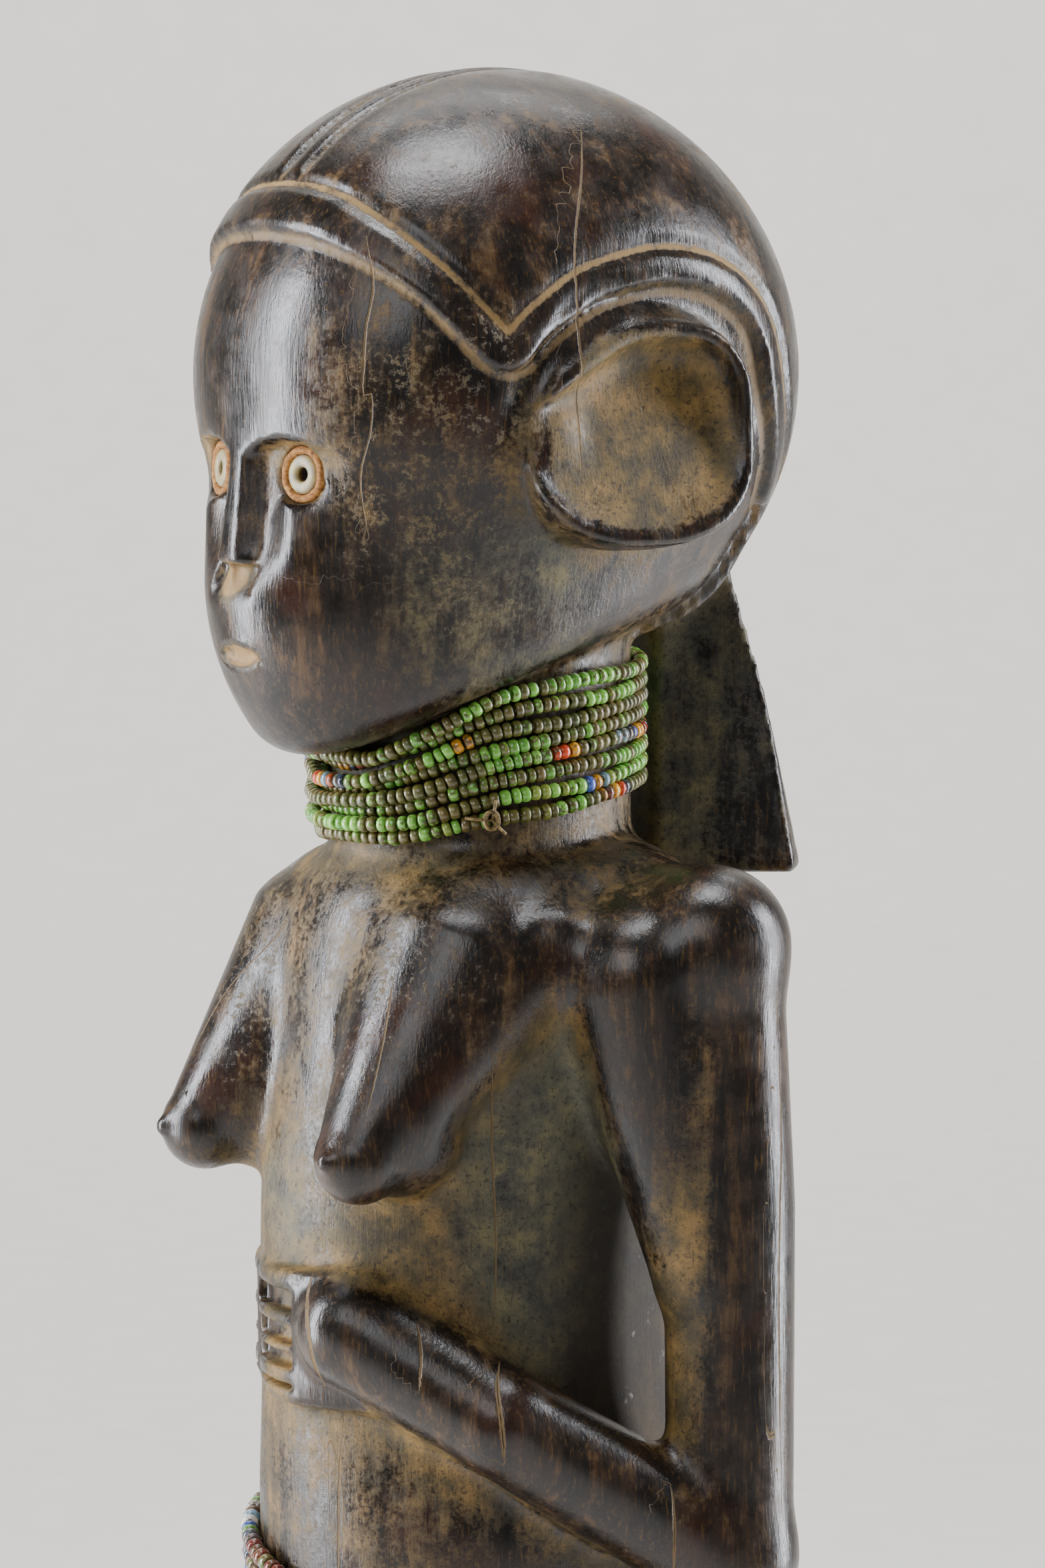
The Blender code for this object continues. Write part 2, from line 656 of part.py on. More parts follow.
def set_eye(side, name, resin_finish, disc_finish):
    """An eye: a disc bead with a small hole, bedded in the resin that fills the socket."""
    place = eye_place(side)
    outer = EYE_SOCKET_RADIUS - FIT_GAP
    bed = EYE_DISC_RADIUS + FIT_GAP
    seat = -EYE_DISC_THICKNESS
    floor = FIT_GAP - EYE_SOCKET_DEPTH
    rim = EYE_RESIN_RIM
    resin = [
        (0, seat - FIT_GAP),
        (bed, seat - FIT_GAP),
        (bed, 0),
        (bed + rim, rim),
        (outer, 0),
        (outer, floor),
        (0, floor),
    ]
    turned(f"eye_resin_{name}", place, resin, resin_finish)
    hole, edge = EYE_DISC_HOLE_RADIUS, EYE_DISC_ROUND
    disc = [
        (hole, 0),
        (EYE_DISC_RADIUS - edge, 0),
        (EYE_DISC_RADIUS, -edge),
        (EYE_DISC_RADIUS, seat),
        (hole, seat),
    ]
    turned(f"eye_disc_{name}", place, disc, disc_finish, hollow=True)


def string_route(turns, steps, height_at, diameter, reach, spread=0.0):
    """A coil's points in shares, from the back of the figure round to the back.

    Each point is as close to the upright axis as its clearance allows. Where the turns crowd
    under the chin, every second one lies further out by the spread.
    """
    clear = shares(diameter / 2 + STRING_CLEARANCE)
    route = []
    for n in range(turns * steps + 1):
        angle = 2 * math.pi * n / steps
        radii = np.arange(*reach, 0.1)
        flat = np.outer(radii, (-math.sin(angle), math.cos(angle)))
        line = np.column_stack([flat, height_at(n / steps, *flat.T)])
        room = figure(line)
        free = np.flatnonzero(room >= clear)
        if len(free) == 0:
            route.append(line[np.argmax(room)])
            continue
        crowded = step_up(-line[free[0], 1], *NECK_STRING_CROWD)
        wanted = radii[free[0]] + shares(spread) * (n // steps % 2) * crowded
        route.append(line[free[min(np.searchsorted(radii[free], wanted), len(free) - 1)]])
    return np.array(route)


def bead_string(name, route, diameter, finish):
    """A string of small beads as one round cord as thick as they are."""
    curve = bpy.data.curves.new(name, "CURVE")
    curve.dimensions = "3D"
    curve.bevel_depth = diameter / 2
    curve.bevel_resolution = 1
    curve.use_fill_caps = True
    line = curve.splines.new("POLY")
    line.points.add(len(route) - 1)
    for point, place in zip(line.points, route * SHARE):
        point.co = (*place, 1)
    curve.materials.append(finish)
    made = bpy.data.objects.new(name, curve)
    parts.objects.link(made)
    return made


def neck_string_height(turn, x, y):
    """The neck coil slopes with the jaw, and its turns close up under the chin."""
    top = profile(y, NECK_STRING_TOP)
    low = profile(y, NECK_STRING_LOW)
    return low + (top - low) * turn / NECK_STRING_TURNS


def hip_string_height(turn, x, y):
    """The hip coil dips at the left of the belly, and passes under both elbows."""
    high = profile(np.degrees(np.arctan2(x, -y)), HIP_STRING_LINE)
    return high - shares(HIP_STRING_PITCH) * turn


HAIRLINE = hairline()

for old in list(bpy.data.objects):
    bpy.data.objects.remove(old)
parts = bpy.data.collections.new("Female figure")
cutters = bpy.data.collections.new("Cutters")
bpy.context.scene.collection.children.link(parts)
bpy.context.scene.collection.children.link(cutters)

wood = material("Polished dark hardwood", (0.045, 0.028, 0.018), 0.35)
resin = material("Ochre resin", (0.36, 0.20, 0.07), 0.7)
shell = material("Pale disc bead", (0.55, 0.42, 0.24), 0.5)
green_glass = material("Green glass seed beads", (0.12, 0.25, 0.05), 0.25)
mixed_glass = material("Mixed glass seed beads", (0.22, 0.24, 0.26), 0.25)

carve_figure(wood)
for side, name in ((1, "left"), (-1, "right")):
    set_eye(side, name, resin, shell)
neck_route = string_route(
    NECK_STRING_TURNS,
    NECK_STRING_STEPS,
    neck_string_height,
    NECK_BEAD_DIAMETER,
    (20, 34),
    NECK_STRING_SPREAD,
)
bead_string("neck_beads", neck_route, NECK_BEAD_DIAMETER, green_glass)
hip_route = string_route(
    HIP_STRING_TURNS,
    HIP_STRING_STEPS,
    hip_string_height,
    HIP_BEAD_DIAMETER,
    (20, 44),
)
bead_string("hip_beads", hip_route, HIP_BEAD_DIAMETER, mixed_glass)
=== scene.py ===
"""The look of a standing female figure, carved from one block of dark hardwood.

The wood's fine carving is read from the same form as its solid, half as coarse. The eyes' disc
beads and resin, and each glass bead on the neck and hips, are pieces of their own.
"""

import math
import random

import bpy
import numpy as np
from mathutils import Matrix, Vector


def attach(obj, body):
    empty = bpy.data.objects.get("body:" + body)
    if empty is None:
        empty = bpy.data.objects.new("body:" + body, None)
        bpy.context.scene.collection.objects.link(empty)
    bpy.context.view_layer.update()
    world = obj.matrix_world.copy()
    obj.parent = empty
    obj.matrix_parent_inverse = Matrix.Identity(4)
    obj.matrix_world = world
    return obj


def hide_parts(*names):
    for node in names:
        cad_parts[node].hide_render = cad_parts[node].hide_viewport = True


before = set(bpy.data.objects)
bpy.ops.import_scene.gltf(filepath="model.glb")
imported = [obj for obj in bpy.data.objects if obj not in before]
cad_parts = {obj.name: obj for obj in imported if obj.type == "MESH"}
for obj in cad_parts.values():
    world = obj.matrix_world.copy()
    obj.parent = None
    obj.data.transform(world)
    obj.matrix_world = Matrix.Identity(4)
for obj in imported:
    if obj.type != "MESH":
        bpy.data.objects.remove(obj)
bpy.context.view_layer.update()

# Real sizes in metres, as the solids have them.
FIGURE_HEIGHT = 0.420
BASE_RADIUS = 0.047
BASE_THICKNESS = 0.014
BASE_EDGE_ROUND = 0.003
NECK_HALF_WIDTH = 0.0215
NECK_HALF_DEPTH = 0.0235
HIP_HALF_WIDTH = 0.0320
HIP_HALF_DEPTH = 0.0340
EYE_SOCKET_RADIUS = 0.0044
EYE_SOCKET_DEPTH = 0.0022
EYE_DISC_RADIUS = 0.0029
EYE_DISC_THICKNESS = 0.0011
EYE_DISC_HOLE_RADIUS = 0.0011
NECK_BEAD_DIAMETER = 0.0025
NECK_STRING_TURNS = 8
NECK_STRING_SPREAD = 0.0016
HIP_BEAD_DIAMETER = 0.0029
HIP_STRING_TURNS = 3
HIP_STRING_PITCH = 0.0036
STRING_CLEARANCE = 0.0008

# The carving is laid out in shares of the figure's height, 420 to the whole.
SHARE = FIGURE_HEIGHT / 420

# The mesh that the carving is read on, and how many triangles it keeps.
CARVING_STEP = 1.5
CARVING_TRIANGLES = 6150
NECK_STRING_STEPS = 22
HIP_STRING_STEPS = 26

# Landmarks in shares: x out from the middle, y back, z up. Those of the arms are of the left one.
SHOULDER = (40.0, 14.5, 289.0)
UPPER_ARM = (42.0, 16.8, 250.0)
ELBOW = (42.8, 16.5, 196.5)
FOREARM = (32.0, -17.5, 218.5)
WRIST = (13.0, -31.5, 231.5)
RIGHT_FOREARM = (38.0, -4.0, 211.0)
RIGHT_WRIST = (24.0, -15.0, 228.0)
BREAST_ROOT = (17.0, -15.0, 283.0)
BREAST_TIP = (21.8, -36.4, 258.6)
NIPPLE = (23.0, -42.8, 258.8)
BREAST_UNDERSIDE = (20.0, -28.5, 261.6)
BREAST_RIDGE = (27.5, -6.0, 289.0)
HIP = (17.0, 1.0, 170.0)
KNEE = (17.5, -9.0, 96.0)
CALF = (17.5, 2.0, 66.0)
ANKLE = (17.5, 3.0, 30.0)
TOES = (18.5, -24.0, 19.0)
EYE = (11.5, 360.0)
EYE_TURN = 14.0
BROW = [
    (0, 361.3),
    (2.3, 362.8),
    (5.3, 364.4),
    (9.4, 365.3),
    (13.3, 365.1),
    (17.4, 364.0),
    (20.3, 362.6),
]
NOSE_HALF_WIDTH = [(346, 2.1), (362, 1.1)]
NOSE_FOOT = [(346, 5.8), (362, 4.4)]
CHEEK_EDGE = [(6, 352.5), (8, 355.8), (10.6, 356.4), (13.9, 355.9), (18, 357.0), (22, 360.0)]
NOSE_END = 347.0
HOLLOW_DEPTH = 2.6
NOSTRIL_DEPTH = 2.2
MOUTH_HEIGHT = 332.6
MOUTH_HALF_WIDTH = 5.6
MOUTH_HALF_HEIGHT = 1.6
MOUTH_DEPTH = 1.0
MOUTH_LIP = 0.2
EAR = (36.5, 5.5, 365.5)
EAR_FACES = (1.0, -0.10, 0.16)
EAR_MIDDLE = (-1.6, 0.8)
EAR_RADII = (19.1, 17.4)
EAR_SQUARENESS = 2.6
EAR_RIM = 1.7
EAR_FLOOR = 2.2
EAR_DISH_DEPTH = (1.3, 4.6)
EAR_HOOD = 1.5
EAR_HOOD_EDGE = (-0.516, 0.857, 13.6)
EAR_HOOD_TOP = 14.4
EAR_CHEEK = 0.5
EAR_CHANNEL_DEPTH = 1.3
CROWN_CENTRE = (0.0, 1.8, 373.6)
CROWN_RADII = (36.2, 45.9, 44.5)
CROWN_SQUARENESS = 2.4
FACE_CENTRE = (0.0, -5.0, 344.0)
FACE_RADII = (28.5, 41.0, 40.0)
JAW_RISE = 0.008

# The belly that the hands lie on: its middle, its radius, and each finger's height there.
BELLY_MIDDLE = -2.0
BELLY_RADIUS = 33.0
FINGER_GAPS = [(234.8, 1.65), (229.8, 1.5), (225.8, 1.2), (221.8, 0.4)]

# The hairline as (degrees round from the nose, height): an arch over the forehead, a point at
# the temple, an arch over the ear and the fall behind it.
FOREHEAD_ARCH = [
    (0, 403.2),
    (12, 402.7),
    (23, 401.0),
    (36, 396.4),
    (48, 390.0),
    (60, 381.3),
]
EAR_ARCH = [
    (60, 381.3),
    (65, 384.9),
    (78, 390.5),
    (97, 393.4),
    (108, 393.7),
    (117, 392.8),
    (124, 391.0),
    (131, 387.4),
    (136, 381.5),
    (140, 371.0),
    (149, 358.0),
]
HAIR_BAND_WIDTH = 5.8
HAIR_BAND_EXTRA = 2.3
HAIR_THICKNESS = 1.8
HAIR_GROOVE_DEPTH = 1.5
HAIR_GROOVE_WIDTH = 0.9
PARTING_OUT = 2.6
QUEUE_SETBACK = 1.9

# The neck coil's upper and lower end as (distance back, height), and where its turns crowd.
NECK_STRING_TOP = [(-26, 317.2), (-22, 321.0), (-12, 326.6), (0, 328.4), (13, 329.4), (26, 330.4)]
NECK_STRING_LOW = [(-26, 304.2), (-22, 303.8), (-12, 306.2), (0, 307.7), (13, 309.4), (26, 310.3)]
NECK_STRING_CROWD = (12, 24)

# The upper edge of the hip coil as (degrees round from the front, height).
HIP_STRING_LINE = [
    (-180, 189),
    (-120, 187.8),
    (-90, 192.5),
    (-70, 198),
    (-55, 200),
    (-24, 197),
    (3, 193.5),
    (30, 190.5),
    (60, 188.5),
    (90, 187.5),
    (120, 187.5),
    (180, 189),
]


def shares(length):
    """A length in metres as shares of the figure's height."""
    return length / SHARE


def spline(points, steps):
    """A smooth line of steps spans between each two points, through them all."""
    points = np.asarray(points, float)
    ends = np.vstack([2 * points[0] - points[1], points, 2 * points[-1] - points[-2]])
    rows = []
    for before, start, end, after in zip(ends, ends[1:], ends[2:], ends[3:]):
        for t in np.arange(steps) / steps:
            rows.append(
                start
                + 0.5 * t * (end - before)
                + t * t * (before - 2.5 * start + 2 * end - 0.5 * after)
                + t * t * t * (1.5 * start - 1.5 * end + 0.5 * (after - before))
            )
    return np.array([*rows, points[-1]])


def profile(at, knots):
    """The value at each place along a smooth curve through (place, value) knots."""
    line = spline(knots, 6)
    return np.interp(at, line[:, 0], line[:, 1])


def join(a, b, soft):
    """Two forms as one, with a fillet about soft wide where they meet."""
    mix = np.clip(0.5 + 0.5 * (b - a) / soft, 0, 1)
    return b + (a - b) * mix - soft * mix * (1 - mix)


def cut(a, b, soft):
    """Form a with form b cut from it, and the edge rounded."""
    return -join(-a, b, soft)


def within(a, b, soft):
    """What forms a and b share."""
    return -join(-a, -b, soft)


def ball(p, centre, radii):
    """An egg with its own radius along each axis."""
    q = (p - np.array(centre)) / np.array(radii)
    reach = np.linalg.norm(q, axis=1)
    slope = np.linalg.norm(q / np.array(radii), axis=1)
    return reach * (reach - 1) / np.maximum(slope, 1e-9)


def limb(p, start, end, start_radius, end_radius):
    """A round bar that tapers between two points."""
    start, end = np.array(start, float), np.array(end, float)
    along = end - start
    t = np.clip((p - start) @ along / (along @ along), 0, 1)
    gap = np.linalg.norm(p - start - t[:, None] * along, axis=1)
    return gap - (start_radius + (end_radius - start_radius) * t)


def column(p, half_width, half_depth, middle, low, high, soft):
    """An upright oval column, whose three measures are curves of height."""
    w, d, y = (profile(p[:, 2], knots) for knots in (half_width, half_depth, middle))
    reach = np.hypot(p[:, 0] / w, (p[:, 1] - y) / d)
    side = (reach - 1) * np.minimum(w, d)
    caps = np.maximum(low - p[:, 2], p[:, 2] - high)
    return within(side, caps, soft)


def plane(p, point, facing):
    """Everything behind a flat face."""
    facing = np.array(facing, float) / np.linalg.norm(facing)
    return (p - np.array(point)) @ facing


def bump(distance, width):
    """1 on a line and 0 a width away from it, with a smooth fall."""
    return np.exp(-((distance / width) ** 2))


def path_gap(p, path):
    """How far each point is from a line through the points of a path."""
    gap = np.full(len(p), np.inf)
    for start, end in zip(path, path[1:]):
        gap = np.minimum(gap, limb(p, start, end, 0.0, 0.0))
    return gap


def crown(p):
    """The top of the head, an egg a little squared in plan."""
    q = np.abs((p - np.array(CROWN_CENTRE)) / np.array(CROWN_RADII))
    plan = (q[:, 0] ** CROWN_SQUARENESS + q[:, 1] ** CROWN_SQUARENESS) ** (1 / CROWN_SQUARENESS)
    return (np.hypot(plan, q[:, 2]) - 1) * 40.0


def skull(p):
    """The egg of the crown and the narrower egg of the face, cut under the jaw, which rises aside."""
    head = join(crown(p), ball(p, FACE_CENTRE, FACE_RADII), 7.0)
    under = plane(p, (0, -33, 316.3), (0, 0.33, -1)) + JAW_RISE * np.minimum(p[:, 0] ** 2, 700)
    return within(head, under, 5.0)


def on_hair(turn, height):
    """The point of the hair's surface at this many degrees round from the nose and this height."""
    out = Vector((math.sin(math.radians(turn)), -math.cos(math.radians(turn)), 0))
    near, far = 0.0, 80.0
    for _ in range(30):
        reach = (near + far) / 2
        point = np.array([[out.x * reach, CROWN_CENTRE[1] + out.y * reach, height]])
        near, far = (reach, far) if skull(point)[0] < HAIR_THICKNESS else (near, reach)
    return point[0]


def hairline():
    """The hairline as (degrees round from the nose, height) rows and as points of the hair."""
    rows = np.vstack([spline(FOREHEAD_ARCH, 4), spline(EAR_ARCH, 4)[1:]])
    return rows, np.array([on_hair(*row) for row in rows])


def hair_side(p):
    """How far each point is from the hairline and from the band's lower edge; both rise upwards."""
    rows, path = HAIRLINE
    turn = np.degrees(np.arctan2(p[:, 0], CROWN_CENTRE[1] - p[:, 1]))
    above = p[:, 2] > np.interp(turn, rows[:, 0], rows[:, 1])
    side = path_gap(p, path) * np.where(above | (turn > rows[-1, 0]), 1, -1)
    return side, side + HAIR_BAND_WIDTH + HAIR_BAND_EXTRA * step_up(-turn, -45, -8)


def partings(p):
    """1 in the two grooves that run back over the crown, and 0 beside them."""
    line = bump(p[:, 0] - PARTING_OUT, HAIR_GROOVE_WIDTH)
    return line * step_up(p[:, 2], 402, 406) * step_up(-p[:, 1], -12, -6)


def hair_relief(p):
    """How far the surface stands out from the skull: hair, its grooved band and the lower face."""
    side, lower = hair_side(p)
    hair = HAIR_THICKNESS * step_up(lower, -0.7, 0.7)
    return hair - HAIR_GROOVE_DEPTH * np.maximum(bump(side, HAIR_GROOVE_WIDTH), partings(p))


def ear_axes():
    """The ear's own directions: out of its face, towards the back and up."""
    out = Vector(EAR_FACES).normalized()
    back = Vector((0, 0, 1)).cross(out).normalized()
    return np.array([out, back, out.cross(back)])


def ear_places(p):
    """Points in the ear's own directions, from its middle."""
    return (p - np.array(EAR)) @ ear_axes().T


def ear_outline(places):
    """How far outside the ear's edge a point is, square on: a full curve, cut off above in front."""
    back, up = places[:, 1], places[:, 2]
    q = np.abs(np.stack([back - EAR_MIDDLE[0], up - EAR_MIDDLE[1]], 1)) / np.array(EAR_RADII)
    full = ((q**EAR_SQUARENESS).sum(axis=1) ** (1 / EAR_SQUARENESS) - 1) * EAR_RADII[1]
    return within(full, 0.516 * up - 0.857 * back - 18.7, 3.0)


def with_ears(head, p):
    """The head with its broad dished ears: a hood above, a thin rim below, and open in front."""
    places = ear_places(p)
    out, back, up = places.T
    edge = ear_outline(places)
    opening = step_up(-back, 8, 15) * bump(up - 1, 8.0)
    wall = edge + EAR_RIM * (1 - opening) - 2.5 * opening
    front, rise, reach = EAR_HOOD_EDGE
    wall = within(within(wall, front * back + rise * up - reach, 2.0), up - EAR_HOOD_TOP, 3.0)
    hood = EAR_HOOD * bump(wall - 1.4, 2.2) - EAR_CHANNEL_DEPTH * bump(wall - 6.5, 3.0)
    hood = hood * step_up(up, 0, 9)
    shell = within(edge, np.abs(out + 2.2) - 4.4 - hood, 1.4)
    shallow, steep = EAR_DISH_DEPTH
    depth = shallow + (steep - shallow) * step_up(up, -14, 11)
    dished = EAR_FLOOR - depth * (1 - np.exp(np.minimum(wall, 0) / 1.6))
    floor = dished + (EAR_CHEEK - dished) * opening * (1 - step_up(up, 2, 7))
    dish = within(wall, floor - out, 0.6)
    channel = bump(edge - 2.6, 2.2) * step_up(up, -4, 8)
    return cut(join(head + EAR_CHANNEL_DEPTH * channel, shell, 1.2), dish, 0.5)


def step_up(value, low, high):
    """0 below low, 1 above high and a smooth rise between."""
    t = np.clip((value - low) / (high - low), 0, 1)
    return t * t * (3 - 2 * t)


def eye_hollows(p):
    """How deep the face is carved away under the brows and down both sides of the nose."""
    x, z = p[:, 0], p[:, 2]
    under_brow = 1 - step_up(z, *(np.interp(x, *zip(*BROW)) + np.array([[-0.9], [0.3]])))
    nose_side = step_up(x, np.interp(z, *zip(*NOSE_HALF_WIDTH)), np.interp(z, *zip(*NOSE_FOOT)))
    socket = HOLLOW_DEPTH * (1 - 0.75 * step_up(x, 5, 19)) * (1 - step_up(x, 17, 22))
    over_cheek = step_up(z, *(np.interp(x, *zip(*CHEEK_EDGE)) + np.array([[-2.4], [1.4]])))
    valley = HOLLOW_DEPTH * (1 - step_up(x, 4.5, 13)) * step_up(z, 341, 350)
    return under_brow * nose_side * np.maximum(socket * over_cheek, valley)


def nostrils(p):
    """The underside of the nose: two upright flutes that run out on the lip, and a ridge between."""
    x, z = p[:, 0], p[:, 2]
    below = NOSE_END - z
    drop = step_up(below, 0.2, 1.0) * (1 - step_up(below, 1.5, 7.0)) * (1 - step_up(x, 4.2, 5.8))
    return drop * (NOSTRIL_DEPTH - 1.1 * bump(x, 0.7))


def mouth(p):
    """A flat almond cut into the face, with a faint lip round it."""
    x, up = p[:, 0], p[:, 2] - MOUTH_HEIGHT
    edge = np.abs(up) - MOUTH_HALF_HEIGHT * (1 - (x / MOUTH_HALF_WIDTH) ** 2)
    lip = MOUTH_LIP * bump(edge - 0.7, 0.7) * (x < MOUTH_HALF_WIDTH)
    return MOUTH_DEPTH * (1 - step_up(edge, -0.5, 0.2)) - lip


def with_face(head, p):
    """The head with hollow eyes beside a long thin nose, nostrils and a small mouth."""
    front = p[:, 1] < -28
    relief = np.zeros(len(p))
    face = p[front]
    relief[front] = eye_hollows(face) + nostrils(face) + mouth(face)
    return head + relief


def eye_frame():
    """The left eye's middle on the face, and the direction that it looks in."""
    x, z = EYE
    near, far = -60.0, 0.0
    for _ in range(30):
        y = (near + far) / 2
        place = np.array([[x, y, z]])
        near, far = (near, y) if with_face(skull(place), place)[0] < 0 else (y, far)
    turn = math.radians(EYE_TURN)
    return Vector((x, y, z)), Vector((math.sin(turn), -math.cos(turn), 0.06)).normalized()


def head(p):
    """The whole head: skull, hair, ears and face. Far from it only its egg is read."""
    form = skull(p)
    near = (form > -14) & (form < 24) & (p[:, 2] > 320)
    relief = np.zeros(len(p))
    relief[near] = hair_relief(p[near])
    relief[~near] = np.clip((p[~near, 2] - 380) / 20, 0, 1) * HAIR_THICKNESS
    form = form - relief
    form[near] = with_ears(with_face(form[near], p[near]), p[near])
    return form


def string_room():
    """How far back from the neck's middle the beads behind it need free."""
    return shares(NECK_HALF_DEPTH + NECK_BEAD_DIAMETER + 2 * STRING_CLEARANCE)


def queue(p):
    """The hair that hangs behind the neck, narrow in front and flaring down and back to a rim."""
    back, down = p[:, 1], 341 - p[:, 2]
    reach = np.clip((back - string_room() - QUEUE_SETBACK + 0.5) / 16, 0, 1.4)
    half_width = 4.5 + (7.0 + 0.20 * np.clip(down, -20, 60)) * reach**1.5
    form = (p[:, 0] - half_width) / 1.5
    form = within(form, plane(p, (0, 41.3, 341), (0, 1, 0.17)), 1.0)
    form = within(form, plane(p, (17.0, 48.0, 297), (0.75, 0.66, 0.20)), 0.8)
    form = within(form, plane(p, (0, 0, 293.5), (0, 0.06, -1)), 1.6)
    form = within(form, string_room() + QUEUE_SETBACK - back, 1.5)
    return within(form, p[:, 2] - 352, 1.5)


def neck(p):
    """A straight oval neck, from within the chest to within the head."""
    wide = [(290, shares(NECK_HALF_WIDTH)), (350, shares(NECK_HALF_WIDTH))]
    deep = [(290, shares(NECK_HALF_DEPTH)), (350, shares(NECK_HALF_DEPTH))]
    return column(p, wide, deep, [(290, 0.0), (350, 0.0)], 285, 348, 1.0)


def torso(p):
    """Chest, waist and belly as one deep column, with the yoke of the shoulders across it."""
    hip = [(190, shares(HIP_HALF_WIDTH)), (202, shares(HIP_HALF_WIDTH))]
    waist = [(222, 28.5), (250, 28.5), (275, 31), (305, 29)]
    wide = [(150, 34), (166, 35), (182, 31), *hip, *waist]
    hip = [(186, shares(HIP_HALF_DEPTH)), (202, shares(HIP_HALF_DEPTH))]
    chest = [(222, 33.5), (250, 33.5), (275, 32), (290, 30.5), (305, 25)]
    deep = [(150, 30), (168, 33), *hip, *chest]
    middle = [(150, 3), (186, 0), (202, -1), (222, -2), (250, -2), (275, 0), (305, 1)]
    form = column(p, wide, deep, middle, 158, 302, 7.0)
    yoke = limb(p, (0, 9, 287.0), SHOULDER, 14.0, 11.5)
    cone = limb(p, BREAST_ROOT, BREAST_TIP, 16.5, 6.8)
    underside = ball(p, BREAST_UNDERSIDE, (9.4, 9.8, 9.6))
    ridge = limb(p, BREAST_RIDGE, (24.0, -29.0, 265.5), 8.0, 5.6)
    breast = join(join(cone, underside, 2.0), ridge, 3.0)
    nipple = ball(p, NIPPLE, (1.5, 1.5, 1.5))
    return join(join(join(form, yoke, 8.0), breast, 3.5), nipple, 1.2)


def arm(p, forearm, wrist):
    """The upper arm hangs free of the flank, and the forearm lies across the belly."""
    upper = np.minimum(limb(p, SHOULDER, UPPER_ARM, 11.0, 9.9), limb(p, UPPER_ARM, ELBOW, 9.9, 9.6))
    upper = join(upper, limb(p, (34.5, 5.0, 284.0), (40.5, 13.5, 240.0), 12.5, 8.2), 3.0)
    lower = join(limb(p, ELBOW, forearm, 9.4, 8.2), limb(p, forearm, wrist, 8.2, 9.0), 0.8)
    return join(upper, lower, 4.0)


def hand(p, belly, tip, palm):
    """A hand laid flat on the belly, from its fingertips to its palm, and its finger gaps."""
    along = BELLY_RADIUS * np.arctan2(p[:, 0], BELLY_MIDDLE - p[:, 1])
    share = np.clip((along - tip) / (palm - tip), 0, 1)
    high = np.abs(p[:, 2] - (230.0 - 0.5 * share)) - 8.8 - 1.6 * share
    length = np.maximum(tip - along, along - palm - 14)
    slab = within(within(belly - 0.4 - 2.2 * share, high, 1.4), length, 1.4)
    gaps = np.full(len(p), np.inf)
    for height, half in FINGER_GAPS:
        gaps = np.minimum(gaps, np.abs(p[:, 2] - height) - half)
    ends = np.maximum(tip + 1.2 - along, along - palm)
    return slab, np.maximum(np.maximum(gaps, ends), -0.7 - belly)


def arms_and_hands(p, left, belly):
    """Both arms; the right hand stops where the left fingertips reach to."""
    right = p[:, 0] < 0
    form = arm(left, FOREARM, WRIST)
    form[right] = arm(left[right], RIGHT_FOREARM, RIGHT_WRIST)
    form = join(belly, form, 4.0)
    mirrored = p * np.array((-1, 1, 1))
    for places, tip, palm in ((p, -10.5, 4.5), (mirrored, 13.5, 27.5)):
        slab, gaps = hand(places, belly, tip, palm)
        form = cut(join(form, slab, 1.2), gaps, 0.4)
    return form


def leg(p):
    form = join(limb(p, HIP, KNEE, 17.5, 12.5), limb(p, KNEE, CALF, 11.5, 11.8), 6.0)
    form = join(form, limb(p, CALF, ANKLE, 11.5, 8.8), 6.0)
    buttock = ball(p, (15.5, 19, 168), (16.5, 19, 18))
    foot = limb(p, (17.5, 6, 20), TOES, 8.5, 7.0)
    return join(join(form, buttock, 7.0), foot, 4.0)


def base(p):
    """The low round base. It runs on below the ground, where it is cut flat."""
    side = np.hypot(p[:, 0], p[:, 1]) - shares(BASE_RADIUS)
    return within(side, p[:, 2] - shares(BASE_THICKNESS), shares(BASE_EDGE_ROUND))


def figure(p):
    """How far each point is outside the carving, in shares; it is negative inside the wood."""
    left = p * np.where(p[:, :1] < 0, (-1, 1, 1), (1, 1, 1))
    body = join(arms_and_hands(p, left, torso(left)), leg(left), 7.0)
    top = join(join(neck(left), queue(left), 1.2), head(left), 1.6)
    form = join(join(body, top, 3.0), base(left), 2.0)
    return np.maximum(form, -4 - p[:, 2])


def blocks_near(field, low, high, width, cells):
    """The corners of the blocks that a field's surface may pass, sought in wide blocks first."""
    if width > 16:
        axes = [np.arange(a, b, width) for a, b in zip(low, high)]
        corners = np.stack(np.meshgrid(*axes, indexing="ij"), -1).reshape(-1, 3)
    else:
        wide = blocks_near(field, low, high, width * 2, cells)
        eighths = width * np.stack(np.meshgrid(*[[0, 1]] * 3, indexing="ij"), -1).reshape(-1, 3)
        corners = (wide[:, None] + eighths).reshape(-1, 3)
    value = field(corners + width / 2)
    return corners[np.abs(value) < 1.1 * width + 2.5]


